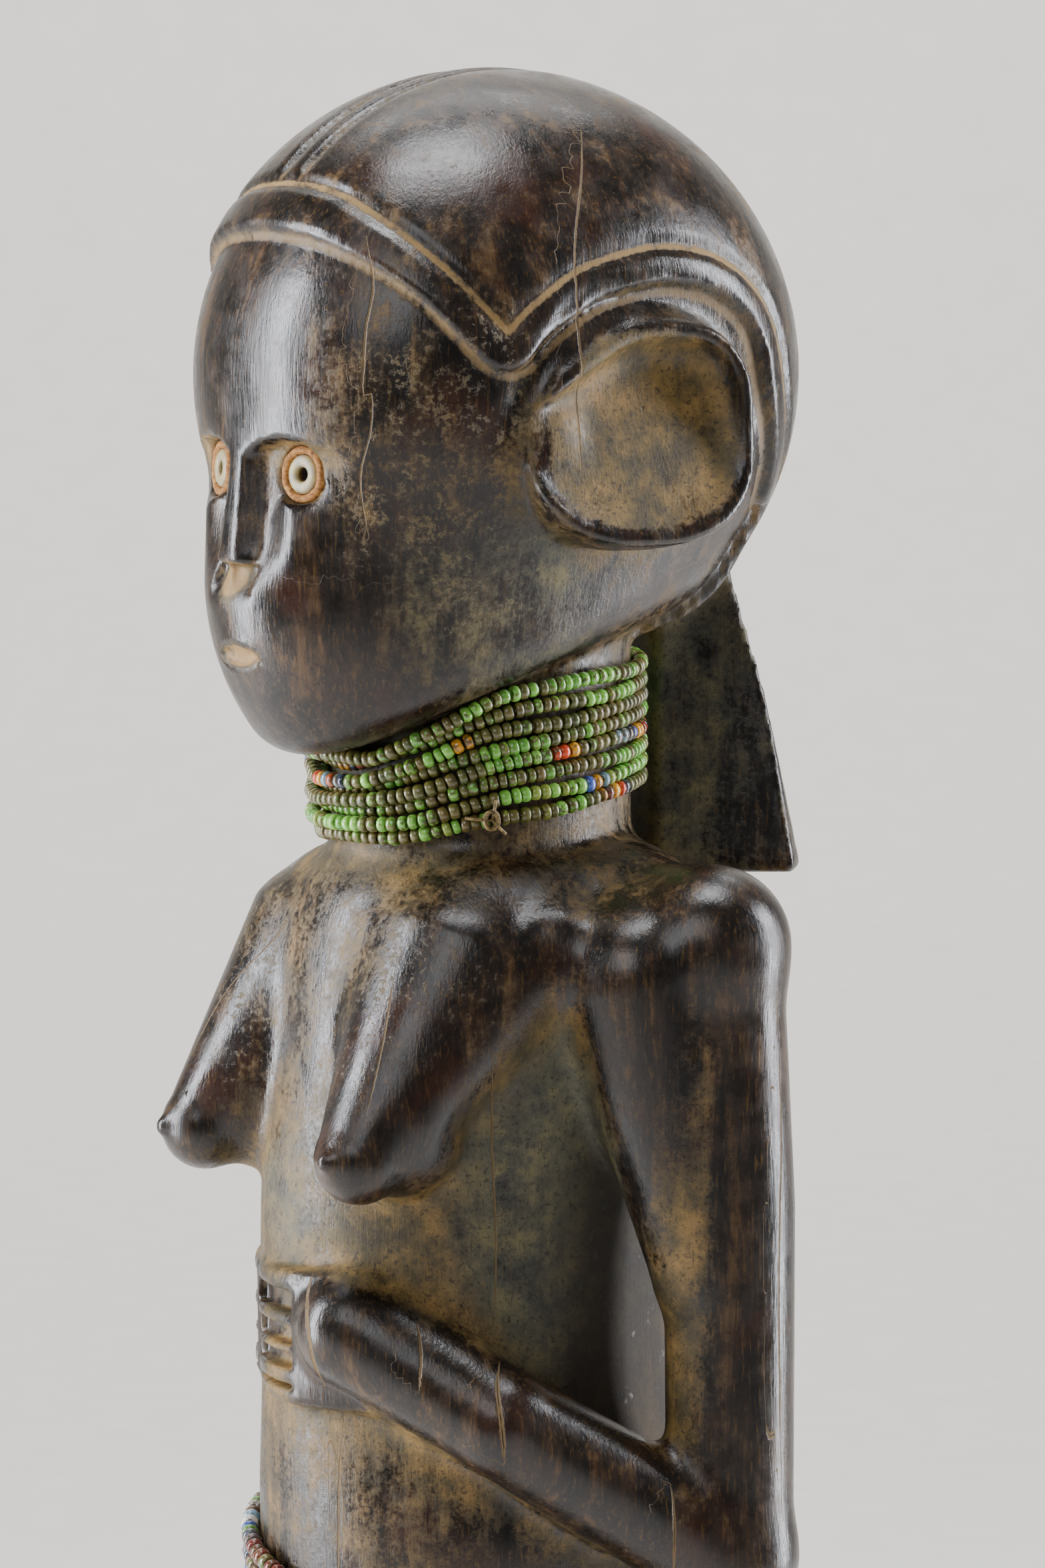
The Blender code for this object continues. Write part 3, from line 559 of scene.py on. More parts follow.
def surface_of(field, low, high, step, cells=4):
    """The points and four-sided faces of the surface where a field is zero, read on a grid."""
    offsets = np.stack(np.meshgrid(*[np.arange(cells + 1)] * 3, indexing="ij"), -1).reshape(-1, 3)
    corners = blocks_near(field, low, high, cells * step, cells)
    first = np.rint((corners - np.array(low)) / step).astype(int)
    shape = tuple(first.max(axis=0) + cells + 2)
    value = np.full(shape, np.inf)
    index = (first[:, None] + offsets).reshape(-1, 3)
    for some in np.array_split(index, max(1, len(index) // 400000)):
        value[tuple(some.T)] = field(np.array(low) + step * some)
    known = np.isfinite(value)
    inside = value < 0
    total, count = np.zeros((*[n - 1 for n in shape], 3)), np.zeros([n - 1 for n in shape])
    crossings = []
    for axis in range(3):
        a, b = [slice(None)] * 3, [slice(None)] * 3
        a[axis], b[axis] = slice(0, -1), slice(1, None)
        a, b = tuple(a), tuple(b)
        crossed = (inside[a] != inside[b]) & known[a] & known[b]
        at = np.argwhere(crossed)
        start, end = value[a][crossed], value[b][crossed]
        point = np.array(low) + step * at
        point[:, axis] += step * start / (start - end)
        others = [n for n in range(3) if n != axis]
        one, two = np.eye(3, dtype=int)[others[0]], np.eye(3, dtype=int)[others[1]]
        for shift in (0 * one, one, two, one + two):
            cell = at - shift
            kept = np.all((cell >= 0) & (cell < np.array(count.shape)), axis=1)
            np.add.at(count, tuple(cell[kept].T), 1)
            np.add.at(total, tuple(cell[kept].T), point[kept])
        crossings.append((axis, at, one, two, start < 0))
    filled = count > 0
    number = np.cumsum(filled.ravel()).reshape(filled.shape) - 1
    points = total[filled] / count[filled][:, None]
    faces = []
    for axis, at, one, two, starts_inside in crossings:
        face = np.stack([number[tuple(c.T)] for c in (at, at - one, at - one - two, at - two)], 1)
        flip = starts_inside ^ (axis == 1)
        face[~flip] = face[~flip][:, ::-1]
        faces.append(face)
    return points, np.concatenate(faces)


# The carving's mesh, how many triangles it keeps, and the finer work that only the looks have.
FINE_STEP = 0.8
FINE_TRIANGLES = 190000
BEAD_SIDES = 12
THREAD_DIAMETER = 0.0005
CRACK_THIN = 0.45
KNOT_TURN = 61.0

# Drying cracks: the direction that each is seen from, its half width and its points from the top
# down, in shares.
CRACKS = [
    (56, 0.30, [(20.8, -34.2, 395.5), (22.6, -34.1, 387.9), (23.2, -35.9, 381), (22.6, -36, 370)]),
    (56, 0.22, [(24.4, -35.6, 376), (24.0, -35.4, 367.4), (21.4, -35.7, 359.5), (22.3, -34.5, 349)]),
    (70, 0.28, [(10.0, 9.4, 418.0), (28.4, -1, 404.3), (34.3, -6.2, 392.7), (36, -6.4, 379), (35, -5.8, 352)]),
    (56, 0.42, [(8.1, -35.8, 240.1), (12.1, -39.5, 235.5), (14, -39.6, 227.7), (11.9, -35.9, 222.4)]),
    (56, 0.36, [(24.5, -28.0, 234.1), (27.9, -29.4, 229.7), (28.8, -30.4, 223.9)]),
    (56, 0.60, [(28.3, -15.6, 228.4), (36.1, -21.3, 225), (38.8, -22.3, 219.6), (37.7, -21, 213.3)]),
    (56, 0.34, [(46.1, 3.1, 210.0), (47.8, 2.7, 204.3), (46.3, 3.6, 194.0)]),
    (56, 0.20, [(33.3, -20, 277.5), (26.6, -15.9, 261.5), (26.2, -14.9, 246.2), (32.3, -19.2, 228.3)]),
    (30, 0.24, [(11.7, -32.8, 218.5), (10.8, -33.1, 207.2), (10.1, -33.0, 180.0)]),
    (30, 0.22, [(21.5, -29.5, 287.9), (24.6, -33.8, 276.6), (26.5, -38.3, 265.2)]),
    (10, 0.22, [(-6.2, -27.7, 294.7), (-13.6, -30.3, 286.5), (-20.2, -34.7, 277.9), (-24, -38, 266)]),
    (90, 0.25, [(50.6, 19.8, 283.5), (50.9, 19.9, 261.5), (51.7, 18.9, 241.5), (51.8, 19.5, 204)]),
    (-90, 0.28, [(-36.0, 8.0, 398.0), (-38.0, 4.0, 386), (-37.0, 1.0, 372)]),
    (-80, 0.26, [(-51.0, 14.0, 282.0), (-51.6, 12.0, 255), (-51.4, 13.0, 214)]),
    (180, 0.34, [(-12.0, 33.0, 276.0), (-10.0, 33.0, 240), (-12.5, 33.0, 205)]),
    (170, 0.30, [(10.0, 45.0, 402.0), (12.0, 46.5, 385), (9.0, 46.5, 362)]),
    (60, 0.24, [(26.0, -12.0, 132.0), (27.5, -14.0, 108), (25.0, -14.0, 84)]),
]


def linear(value):
    """One sRGB channel as a linear one."""
    return value / 12.92 if value <= 0.04045 else ((value + 0.055) / 1.055) ** 2.4


def colour(code):
    """An sRGB hex colour as a linear RGBA."""
    return (*(linear(int(code[n : n + 2], 16) / 255) for n in (1, 3, 5)), 1.0)


def node(tree, kind, settings=None, **links):
    """Add a node: its settings are properties, and its links values or other nodes' outputs by input name."""
    made = tree.nodes.new(kind)
    for name, value in (settings or {}).items():
        setattr(made, name, value)
    for name, value in links.items():
        socket = made.inputs[int(name[1:]) if name[0] == "_" and name[1:].isdigit() else name.replace("_", " ")]
        if isinstance(value, bpy.types.NodeSocket):
            tree.links.new(value, socket)
        else:
            socket.default_value = value
    return made


def ramp(tree, value, stops, interpolation="LINEAR"):
    """A colour ramp through (place, colour or number) stops."""
    made = node(tree, "ShaderNodeValToRGB", Fac=value)
    band = made.color_ramp
    band.interpolation = interpolation
    while len(band.elements) < len(stops):
        band.elements.new(0.5)
    for element, (place, look) in zip(band.elements, stops):
        element.position = place
        element.color = colour(look) if isinstance(look, str) else (look, look, look, 1)
    return made.outputs["Color"]


def noise(tree, place, size, detail=4.0, roughness=0.55, distortion=0.0):
    """Noise whose blotches are about size metres wide."""
    made = node(tree, "ShaderNodeTexNoise", Vector=place, Scale=1 / size, Detail=detail, Roughness=roughness, Distortion=distortion)
    return made.outputs["Fac"]


def stretched(tree, x, y, z):
    """Places in the object, squeezed along each axis so that patterns come out drawn along the others."""
    place = node(tree, "ShaderNodeTexCoord").outputs["Object"]
    return node(tree, "ShaderNodeMapping", Vector=place, Scale=(x, y, z)).outputs["Vector"]


def maths(tree, operation, a, b=0.0, clamp=False):
    return node(tree, "ShaderNodeMath", {"operation": operation, "use_clamp": clamp}, _0=a, _1=b).outputs["Value"]


def blend(tree, share, a, b, mode="MIX"):
    """Two colours mixed by a share."""
    made = node(tree, "ShaderNodeMix", {"data_type": "RGBA", "blend_type": mode}, Factor=share)
    for socket, value in ((made.inputs[6], a), (made.inputs[7], b)):
        if isinstance(value, bpy.types.NodeSocket):
            tree.links.new(value, socket)
        else:
            socket.default_value = colour(value)
    return made.outputs[2]


def between(tree, value, low, high):
    """0 where a value is low and 1 where it is high, with a smooth rise."""
    made = node(tree, "ShaderNodeMapRange", {"interpolation_type": "SMOOTHSTEP"}, Value=value)
    made.inputs["From Min"].default_value = low
    made.inputs["From Max"].default_value = high
    return made.outputs["Result"]


def measured(tree, name):
    """A value stored at the mesh's points."""
    return node(tree, "ShaderNodeAttribute", {"attribute_name": name}).outputs["Fac"]


def finish(tree, **sockets):
    """The shader, its values and links by socket name, and the surface output."""
    shader = node(tree, "ShaderNodeBsdfPrincipled", **sockets)
    node(tree, "ShaderNodeOutputMaterial", Surface=shader.outputs["BSDF"])


def dark_hardwood():
    """Dark tropical hardwood, carved with a knife, oiled, smoked and polished by handling.

    The oil gives a deep gloss that breaks up on the fibre and on knife marks. A thin film of dust
    and old pigment has worn through on all that stands out, and lies matt in every hollow.
    """
    made = bpy.data.materials.new("Polished dark hardwood with dust")
    made.use_nodes = True
    tree = made.node_tree
    tree.nodes.clear()
    even = stretched(tree, 1, 1, 1)
    along = stretched(tree, 1, 1, 0.11)
    hollow = measured(tree, "hollow")
    deep = measured(tree, "deep")
    film_sown = measured(tree, "film")
    grey_and_sheen_sown = measured(tree, "grey")

    fibre = noise(tree, along, 0.0005, 3, 0.65)
    streak = noise(tree, along, 0.0032, 5, 0.65, 0.5)
    cloud = noise(tree, even, 0.017, 4, 0.6)
    patch = noise(tree, even, 0.0055, 7, 0.72)
    grit = noise(tree, even, 0.0009, 3, 0.7)

    # The wood: nearly black, with brown and red-brown where the smoke has rubbed thin.
    ground = ramp(
        tree,
        maths(tree, "ADD", maths(tree, "MULTIPLY", streak, 0.65), maths(tree, "MULTIPLY", patch, 0.35)),
        [(0.36, "#0b0807"), (0.47, "#17110c"), (0.55, "#2a1d13"), (0.64, "#4d3820")],
    )
    ground = blend(tree, between(tree, cloud, 0.52, 0.70), ground, blend(tree, streak, "#140c08", "#3c2013"))
    ground = blend(tree, between(tree, fibre, 0.54, 0.70), ground, blend(tree, 0.22, ground, "#80602f"))

    # The film: how thick it lies by place, worn along the fibre and broken up by patches and grit.
    wanted = maths(tree, "ADD", film_sown, maths(tree, "MULTIPLY", hollow, 0.75))
    wanted = maths(tree, "ADD", wanted, maths(tree, "MULTIPLY", deep, 0.55))
    for value, share in ((patch, 1.3), (streak, 1.3), (grit, 1.5)):
        wanted = maths(tree, "ADD", wanted, maths(tree, "MULTIPLY", maths(tree, "SUBTRACT", value, 0.5), share))
    film = maths(tree, "MULTIPLY", between(tree, wanted, 0.20, 1.05), 0.9)
    ochres = ramp(
        tree,
        noise(tree, even, 0.008, 6, 0.7),
        [(0.34, "#38301c"), (0.45, "#564827"), (0.55, "#775f31"), (0.66, "#947340")],
    )
    greys = ramp(tree, patch, [(0.35, "#33342a"), (0.5, "#504e3c"), (0.66, "#716844")])
    # Grey film where it is sown; on the jaw the grey also paints a sheen.
    film_colour = blend(tree, between(tree, maths(tree, "ADD", grey_and_sheen_sown, cloud), 0.62, 1.25), ochres, greys)
    pores = maths(tree, "MAXIMUM", between(tree, grit, 0.54, 0.66), between(tree, fibre, 0.60, 0.72))
    film_colour = blend(tree, pores, film_colour, blend(tree, 0.7, film_colour, "#1a120b"))
    look = blend(tree, film, ground, film_colour)

    # Light ochre, pressed into the lips and nostrils.
    packed = maths(tree, "MULTIPLY", between(tree, film_sown, 0.9, 1.3), between(tree, patch, 0.34, 0.46))
    look = blend(tree, packed, look, blend(tree, grit, "#7d5f38", "#a5834f"))

    # Dry grey-tan specks of crust.
    crust = maths(tree, "ADD", grit, maths(tree, "MULTIPLY", measured(tree, "crust"), 0.13))
    specks = maths(tree, "MULTIPLY", between(tree, crust, 0.64, 0.70), measured(tree, "crust"))
    specks = maths(tree, "MULTIPLY", specks, between(tree, patch, 0.46, 0.6))
    look = blend(tree, maths(tree, "MULTIPLY", specks, 0.55), look, "#7c6c4c")

    # Painted shade: a matt, nearly black patch in the hollow between each arm and the body, where shadow falls.
    soot = maths(tree, "MULTIPLY", measured(tree, "soot"), between(tree, patch, 0.30, 0.42))
    look = blend(tree, maths(tree, "MULTIPLY", soot, 0.85), look, blend(tree, patch, "#130d08", "#2a1f13"))

    # Lines: ochre packed into the grooves of the hair, and drying cracks.
    wobble = maths(tree, "MULTIPLY", maths(tree, "SUBTRACT", grit, 0.5), 0.9)
    grooved = line_mask(tree, "hairline", 0.25, 0.72, wobble)
    grooved = maths(tree, "MAXIMUM", grooved, maths(tree, "MULTIPLY", line_mask(tree, "band", 0.25, 0.9, wobble), 0.6))
    grooved = maths(tree, "MAXIMUM", grooved, line_mask(tree, "parting", 0.3, 0.8, wobble))
    grooved = maths(tree, "MULTIPLY", grooved, between(tree, patch, 0.33, 0.5))
    look = blend(tree, grooved, look, blend(tree, patch, "#66522e", "#a08150"))
    cracked = line_mask(tree, "crack", 0.7, 1.5, maths(tree, "MULTIPLY", wobble, 1.8))
    inside = line_mask(tree, "crack", 0.10, 0.5, maths(tree, "MULTIPLY", wobble, 0.8))
    look = blend(tree, maths(tree, "MULTIPLY", cracked, 0.8), look, blend(tree, patch, "#5f4a2a", "#94774a"))
    look = blend(tree, maths(tree, "MULTIPLY", inside, between(tree, patch, 0.42, 0.55)), look, "#150d07")

    # Gloss: sharp on the wood, dull on the film, none on dust and crust.
    lines = maths(tree, "MAXIMUM", grooved, cracked)
    matt = maths(tree, "MAXIMUM", maths(tree, "MULTIPLY", film, 0.72), maths(tree, "MAXIMUM", specks, lines))
    # The painted shade between the arms and the body is matt as well.
    matt = maths(tree, "MAXIMUM", matt, soot)
    gloss = ramp(tree, patch, [(0.35, 0.19), (0.5, 0.28), (0.7, 0.40)])
    roughness = node(tree, "ShaderNodeMix", Factor=matt)
    tree.links.new(gloss, roughness.inputs[2])
    roughness.inputs[3].default_value = 0.8

    # Relief: flat knife cuts, raised fibre, grains of dust, and the cracks' edges.
    knife = noise(tree, stretched(tree, 1, 1, 0.5), 0.008, 2, 0.4)
    height = maths(tree, "MULTIPLY", knife, 0.34)
    height = maths(tree, "ADD", height, maths(tree, "MULTIPLY", fibre, 0.085))
    height = maths(tree, "ADD", height, maths(tree, "MULTIPLY", maths(tree, "MULTIPLY", grit, matt), 0.13))
    height = maths(tree, "SUBTRACT", height, maths(tree, "MULTIPLY", cracked, 0.22))
    relief = node(tree, "ShaderNodeBump", Strength=0.6, Distance=0.0012, Height=height)
    finish(tree, Base_Color=look, Roughness=roughness.outputs[0], IOR=1.5, Normal=relief.outputs["Normal"])
    return made


def line_mask(tree, name, inner, outer, wobble):
    """1 on a line and 0 beside it, from a signed distance at the mesh's points and where it counts."""
    gap = maths(tree, "ABSOLUTE", maths(tree, "ADD", measured(tree, name), wobble))
    return maths(tree, "MULTIPLY", between(tree, gap, outer, inner), measured(tree, f"{name}_on"))


def bored_figure(p):
    """The carving with its eye sockets cut in."""
    form = figure(p)
    near = np.flatnonzero((p[:, 1] < -25) & (np.abs(p[:, 2] - EYE[1]) < 9))
    middle, out = (np.array(v) for v in eye_frame())
    from_eye = p[near] * np.where(p[near, :1] < 0, (-1, 1, 1), (1, 1, 1)) - middle
    deep = from_eye @ out
    side = np.linalg.norm(from_eye - deep[:, None] * out, axis=1) - shares(EYE_SOCKET_RADIUS)
    form[near] = np.maximum(form[near], -np.maximum(side, np.abs(deep) - shares(EYE_SOCKET_DEPTH)))
    return form


def carve_wood():
    """The carving's fine mesh, and the values its material reads at each point."""
    low, high = (-60, -60, -6), (60, 60, 426)
    points, faces = surface_of(bored_figure, low, high, FINE_STEP)
    mesh = bpy.data.meshes.new("carved_wood")
    mesh.from_pydata((points * SHARE).tolist(), [], faces.tolist())
    made = bpy.data.objects.new("carved_wood", mesh)
    bpy.context.scene.collection.objects.link(made)
    thin = made.modifiers.new("Fewer faces", "DECIMATE")
    thin.ratio = FINE_TRIANGLES / (2 * len(faces))
    apply_modifiers(made)
    mesh = made.data
    for vertex in mesh.vertices:
        vertex.co.z = max(vertex.co.z, 0.0)
    mesh.shade_smooth()
    store_masks(mesh)
    return made


def apply_modifiers(made):
    """Replace an object's mesh by what its modifiers make of it."""
    ready = made.evaluated_get(bpy.context.evaluated_depsgraph_get())
    mesh = bpy.data.meshes.new_from_object(ready)
    made.modifiers.clear()
    made.data = mesh


def store(mesh, name, values):
    mesh.attributes.new(name, "FLOAT", "POINT").data.foreach_set("value", values.astype(np.float32))


def region(p, centre, radii):
    """1 in the middle of an egg-shaped region and 0 outside it."""
    reach = np.linalg.norm((p - np.array(centre)) / np.array(radii), axis=1)
    return 1 - step_up(reach, 0.45, 1.05)


def store_masks(mesh):
    """How hollow the form is at each point, where dust, crust and grooves lie, and where shade and a sheen are
    painted.
    """
    count = len(mesh.vertices)
    points, normals = np.empty(count * 3), np.empty(count * 3)
    mesh.vertices.foreach_get("co", points)
    mesh.vertex_normals.foreach_get("vector", normals)
    p, out = points.reshape(-1, 3) / SHARE, normals.reshape(-1, 3)
    left = p * np.where(p[:, :1] < 0, (-1, 1, 1), (1, 1, 1))
    room = {reach: np.clip(1 - figure(p + out * reach) / reach, 0, 1) for reach in (1.5, 4.0, 14.0)}
    store(mesh, "hollow", np.maximum(room[1.5], room[4.0]))
    store(mesh, "deep", room[14.0])

    film = 0.88 * (left[:, 0] > 25) * (1 - step_up(ear_outline(ear_places(left)), -3.5, -1.8))
    for centre, radii, share in FILM_PLACES:
        film = np.maximum(film, share * region(left, centre, radii))
    for centre, radii, share in POLISHED_PLACES:
        film -= share * region(left, centre, radii)
    store(mesh, "film", film)
    for name, places in (("crust", CRUST_PLACES), ("grey", GREY_AND_SHEEN_PLACES), ("soot", PAINTED_SHADE_PLACES)):
        values = np.zeros(count)
        for centre, radii, share in places:
            values = np.maximum(values, share * region(left, centre, radii))
        store(mesh, name, values)
    store_lines(mesh, p, left)


def store_lines(mesh, p, left):
    """The signed distance from each groove and crack, and where it counts."""
    head = left[:, 2] > 345
    side, lower = np.full(len(p), 9.0), np.full(len(p), 9.0)
    out = left[head] - np.array(CROWN_CENTRE)
    out /= np.linalg.norm(out, axis=1)[:, None]
    side[head], lower[head] = hair_side(left[head] + out * (HAIR_THICKNESS - skull(left[head]))[:, None])
    on_crown = step_up(left[:, 2], 402, 406) * step_up(-left[:, 1], -12, -6)
    crack, near = np.full(len(p), 20.0), np.zeros(len(p))
    for turn, half, path in CRACKS:
        path = spline(path[::-1], 4)
        across = np.array((math.cos(math.radians(turn)), math.sin(math.radians(turn)), 0))
        share = (p[:, 2] - path[0, 2]) / (path[-1, 2] - path[0, 2])
        line = np.column_stack([np.interp(p[:, 2], path[:, 2], path[:, k]) for k in range(3)])
        taken = (share > 0) & (share < 1) & (np.linalg.norm(p - line, axis=1) < 7)
        width = CRACK_THIN * half * (step_up(share, 0, 0.3) * step_up(1 - share, 0, 0.3) + 0.25)
        value = np.clip((p - line) @ across / width, -20, 20)
        crack[taken] = np.where(np.abs(value) < np.abs(crack), value, crack)[taken]
        on = (1 - step_up(np.linalg.norm(p - line, axis=1), 4, 6)) * step_up(share, 0, 0.04) * step_up(1 - share, 0, 0.04)
        near = np.maximum(near, on)
    for name, value, on in (
        ("hairline", side, head),
        ("band", lower + 0.8, head),
        ("parting", left[:, 0] - PARTING_OUT, on_crown),
        ("crack", crack, near),
    ):
        store(mesh, name, value)
        store(mesh, f"{name}_on", on.astype(float))


# Where dust lies, is rubbed off and is grey (on the jaw also a painted sheen), where shade is painted, and where crust
# lies: (middle, radii, how much).
# Both sides of the figure are alike.
FILM_PLACES = [
    ((0, -28, 292), (36, 26, 24), 0.50),
    ((0, -36, 255), (15, 16, 30), 0.62),
    ((18, -22, 243), (22, 20, 14), 0.62),
    ((27, -8, 256), (14, 24, 42), 0.80),
    ((43, 9, 250), (8, 9, 52), 0.85),
    ((0, 2, 312), (28, 30, 18), 0.62),
    ((0, 14, 334), (32, 32, 16), 0.50),
    ((0, 42, 316), (26, 18, 34), 0.26),
    ((0, 32, 250), (30, 18, 62), 0.42),
    ((10, -30, 204), (34, 24, 24), 0.42),
    ((2, -39, 228), (5, 6, 14), 1.0),
    # On the jaw this dust also paints a grey sheen.
    ((28, -16, 340), (18, 24, 20), 0.46),
    ((14, 0, 100), (12, 24, 76), 0.46),
    ((0, 0, 12), (56, 56, 16), 0.58),
    ((0, -42, 332.6), (6.6, 8, 2.6), 1.6),
    ((0, -42, 343.5), (5.2, 8, 4.6), 1.4),
    ((11.5, -38, 362), (11, 8, 4), 0.80),
    ((0, 10, 372), (50, 60, 60), 0.16),
    ((24, -26, 366), (18, 26, 34), 0.24),
    ((0, 0, 240), (60, 60, 90), 0.20),
    ((0, 0, 100), (60, 60, 90), 0.34),
]
POLISHED_PLACES = [
    ((14, -36, 230), (22, 12, 12), 0.75),
    ((38, -8, 216), (16, 26, 16), 0.45),
    ((24, -38, 270), (10, 14, 22), 0.40),
    ((49, 18, 250), (8, 11, 60), 0.35),
    ((0, -46, 385), (20, 12, 26), 0.45),
    ((12, -38, 342), (8, 8, 22), 0.30),
]
GREY_AND_SHEEN_PLACES = [
    ((27, 0, 250), (16, 32, 40), 0.75),
    ((0, -14, 326), (30, 34, 14), 1.0),
    ((0, 40, 316), (28, 22, 36), 0.9),
    ((0, -30, 250), (16, 16, 14), 0.5),
    # On the jaw the grey is a painted sheen, the pale floor's reflection, as well as grey film.
    ((26, -18, 340), (20, 28, 18), 1.0),
]
# Painted shade: a dark matt patch in the hollow between each arm and the body.
PAINTED_SHADE_PLACES = [
    ((28, 13, 228), (12, 24, 58), 1.0),
]
CRUST_PLACES = [
    ((28, -24, 360), (16, 28, 38), 1.0),
    ((6, -24, 284), (36, 34, 30), 0.8),
    ((0, 0, 60), (60, 60, 60), 0.4),
]


def rings(profile_points, sides):
    """A closed ring's unit mesh: a closed outline of (radius, height) turned round Z."""
    points, faces = [], []
    count = len(profile_points)
    for n in range(sides):
        turn = 2 * math.pi * n / sides
        for radius, height in profile_points:
            points.append((radius * math.cos(turn), radius * math.sin(turn), height))
        after = (n + 1) % sides
        for k in range(count):
            up = (k + 1) % count
            faces.append((n * count + k, after * count + k, after * count + up, n * count + up))
    return np.array(points), np.array(faces)


def bead_outline(sides=10, hole=0.32):
    """A seed bead's outline: a round-shouldered short tube of outer radius 1 and height 1.3."""
    middle, half = (1 + hole) / 2, (1 - hole) / 2
    rows = []
    for n in range(sides):
        turn = 2 * math.pi * n / sides
        across, up = math.cos(turn), math.sin(turn)
        squared = max(abs(across), abs(up)) ** -0.2
        rows.append((middle + half * across * squared, 0.60 * up * squared))
    return rows


def string_beads(name, route, diameter, look, looks, seed, spacing=0.64):
    """Beads threaded close along a route, each with its own size, tilt, colour and dirt."""
    draw = random.Random(seed)
    bead_looks = looks(draw)
    unit, unit_faces = rings(bead_outline(), BEAD_SIDES)
    points, faces, tints, coats = [], [], [], []
    lengths = np.concatenate([[0], np.cumsum(np.linalg.norm(np.diff(route, axis=0), axis=1))])
    at = 0.0
    while at < lengths[-1]:
        size = diameter * draw.uniform(0.90, 1.03)
        thick = draw.uniform(0.82, 1.16)
        place, ahead, behind = (
            np.array([np.interp(spot, lengths, route[:, k]) for k in range(3)])
            for spot in (at, at + diameter, at - diameter)
        )
        tilt = np.array([draw.gauss(0, 0.09) for _ in range(3)])
        axis = Vector(ahead - behind).normalized() + Vector(tilt)
        turn = np.array(axis.to_track_quat("Z", "Y").to_matrix())
        shape = unit * np.array((1, 1, thick)) * size / 2
        faces.append(unit_faces + len(points) * len(unit))
        points.append(shape @ turn.T + place)
        tint, coat = next(bead_looks)
        tints.append(tint)
        coats.append(coat)
        at += diameter * spacing * thick
    mesh = bpy.data.meshes.new(name)
    mesh.from_pydata(np.concatenate(points).tolist(), [], np.concatenate(faces).tolist())
    mesh.shade_smooth()
    store(mesh, "tint", np.repeat(tints, len(unit)))
    store(mesh, "coat", np.repeat(coats, len(unit)))
    made = bpy.data.objects.new(name, mesh)
    bpy.context.scene.collection.objects.link(made)
    mesh.materials.append(look)
    return made


def neck_bead_looks(draw):
    """Each neck bead's tint and how dirty it is: green, clean or dirty in runs, with short odd runs."""
    while True:
        odd = draw.random() < 0.2
        dirt = draw.uniform(0.0, 0.75)
        for _ in range(draw.randint(2, 6) if odd else draw.randint(4, 14)):
            if odd:
                yield draw.uniform(0.4, 1.0), draw.uniform(0.1, 0.5)
            else:
                yield draw.uniform(0.0, 0.4), min(1.0, max(0.0, dirt + draw.gauss(0.1, 0.2)))


def hip_bead_looks(draw):
    """Each hip bead's tint and how dirty it is: every bead unlike the one before."""
    while True:
        yield draw.random(), draw.uniform(0.1, 0.6)


def string_route(turns, steps, height_at, diameter, reach, spread=0.0):
    """A coil's points in metres, each as close to the upright axis as the beads allow.

    It runs from the back of the figure round to the back. Where the turns crowd under the chin,
    every second one lies further out by the spread.
    """
    clear = shares(diameter / 2) + 0.1
    count = turns * steps + 1
    turn = np.arange(count) / steps
    out = np.column_stack([-np.sin(2 * math.pi * turn), np.cos(2 * math.pi * turn)])
    radii = np.arange(*reach, 0.1)
    flat = (radii[None, :, None] * out[:, None, :]).reshape(-1, 2)
    line = np.column_stack([flat, height_at(np.repeat(turn, len(radii)), *flat.T)])
    room = figure(line).reshape(count, len(radii))
    line = line.reshape(count, len(radii), 3)
    free = room >= clear
    nearest = np.where(free.any(axis=1), free.argmax(axis=1), room.argmax(axis=1))
    y = line[np.arange(count), nearest, 1]
    shift = shares(spread) * (turn.astype(int) % 2) * step_up(-y, *NECK_STRING_CROWD)
    wanted = np.minimum(nearest + np.rint(shift / 0.1).astype(int), len(radii) - 1)
    chosen = np.where(free[np.arange(count), wanted], wanted, nearest)
    route = line[np.arange(count), chosen]
    slack = 0.22 * np.sin(5.1 * turn + 1) + 0.16 * np.sin(23.7 * turn) + 0.10 * np.sin(41.3 * turn)
    return (route + np.column_stack([0 * slack, 0 * slack, slack])) * SHARE


def neck_string_height(turn, x, y):
    """The neck coil slopes with the jaw, and its turns close up under the chin."""
    low, top = profile(y, NECK_STRING_LOW), profile(y, NECK_STRING_TOP)
    return low + (top - low) * turn / NECK_STRING_TURNS


def hip_string_height(turn, x, y):
    """The hip coil dips at the left of the belly, and passes under both elbows."""
    high = profile(np.degrees(np.arctan2(x, -y)), HIP_STRING_LINE)
    return high - shares(HIP_STRING_PITCH) * turn


def glass_beads(name, stops):
    """Opaque drawn-glass seed beads, tumbled smooth, each half hidden by old oil and dirt.

    The glass is even in colour and glossy. The coat of oil and dirt is a brown translucent skin
    that has taken a gloss of its own, and is worn through on most beads.
    """
    made = bpy.data.materials.new(name)
    made.use_nodes = True
    tree = made.node_tree
    tree.nodes.clear()
    glass = ramp(tree, measured(tree, "tint"), stops, "CONSTANT")
    even = stretched(tree, 1, 1, 1)
    spots = noise(tree, even, 0.0008, 4, 0.7)
    grime = between(tree, maths(tree, "ADD", spots, maths(tree, "MULTIPLY", measured(tree, "coat"), 0.55)), 0.64, 0.77)
    brown = ramp(tree, noise(tree, even, 0.004, 3, 0.6), [(0.35, "#3d3219"), (0.55, "#5a4520"), (0.7, "#6b5228")])
    look = blend(tree, maths(tree, "MULTIPLY", grime, 0.9), glass, brown)
    roughness = maths(tree, "MULTIPLY_ADD", grime, 0.2)
    tree.nodes[-1].inputs[2].default_value = 0.13
    relief = node(tree, "ShaderNodeBump", Strength=0.35, Distance=0.0002, Height=spots)
    finish(
        tree,
        Base_Color=look,
        Roughness=roughness,
        IOR=1.52,
        Coat_Weight=0.5,
        Coat_Roughness=0.08,
        Normal=relief.outputs["Normal"],
    )
    return made


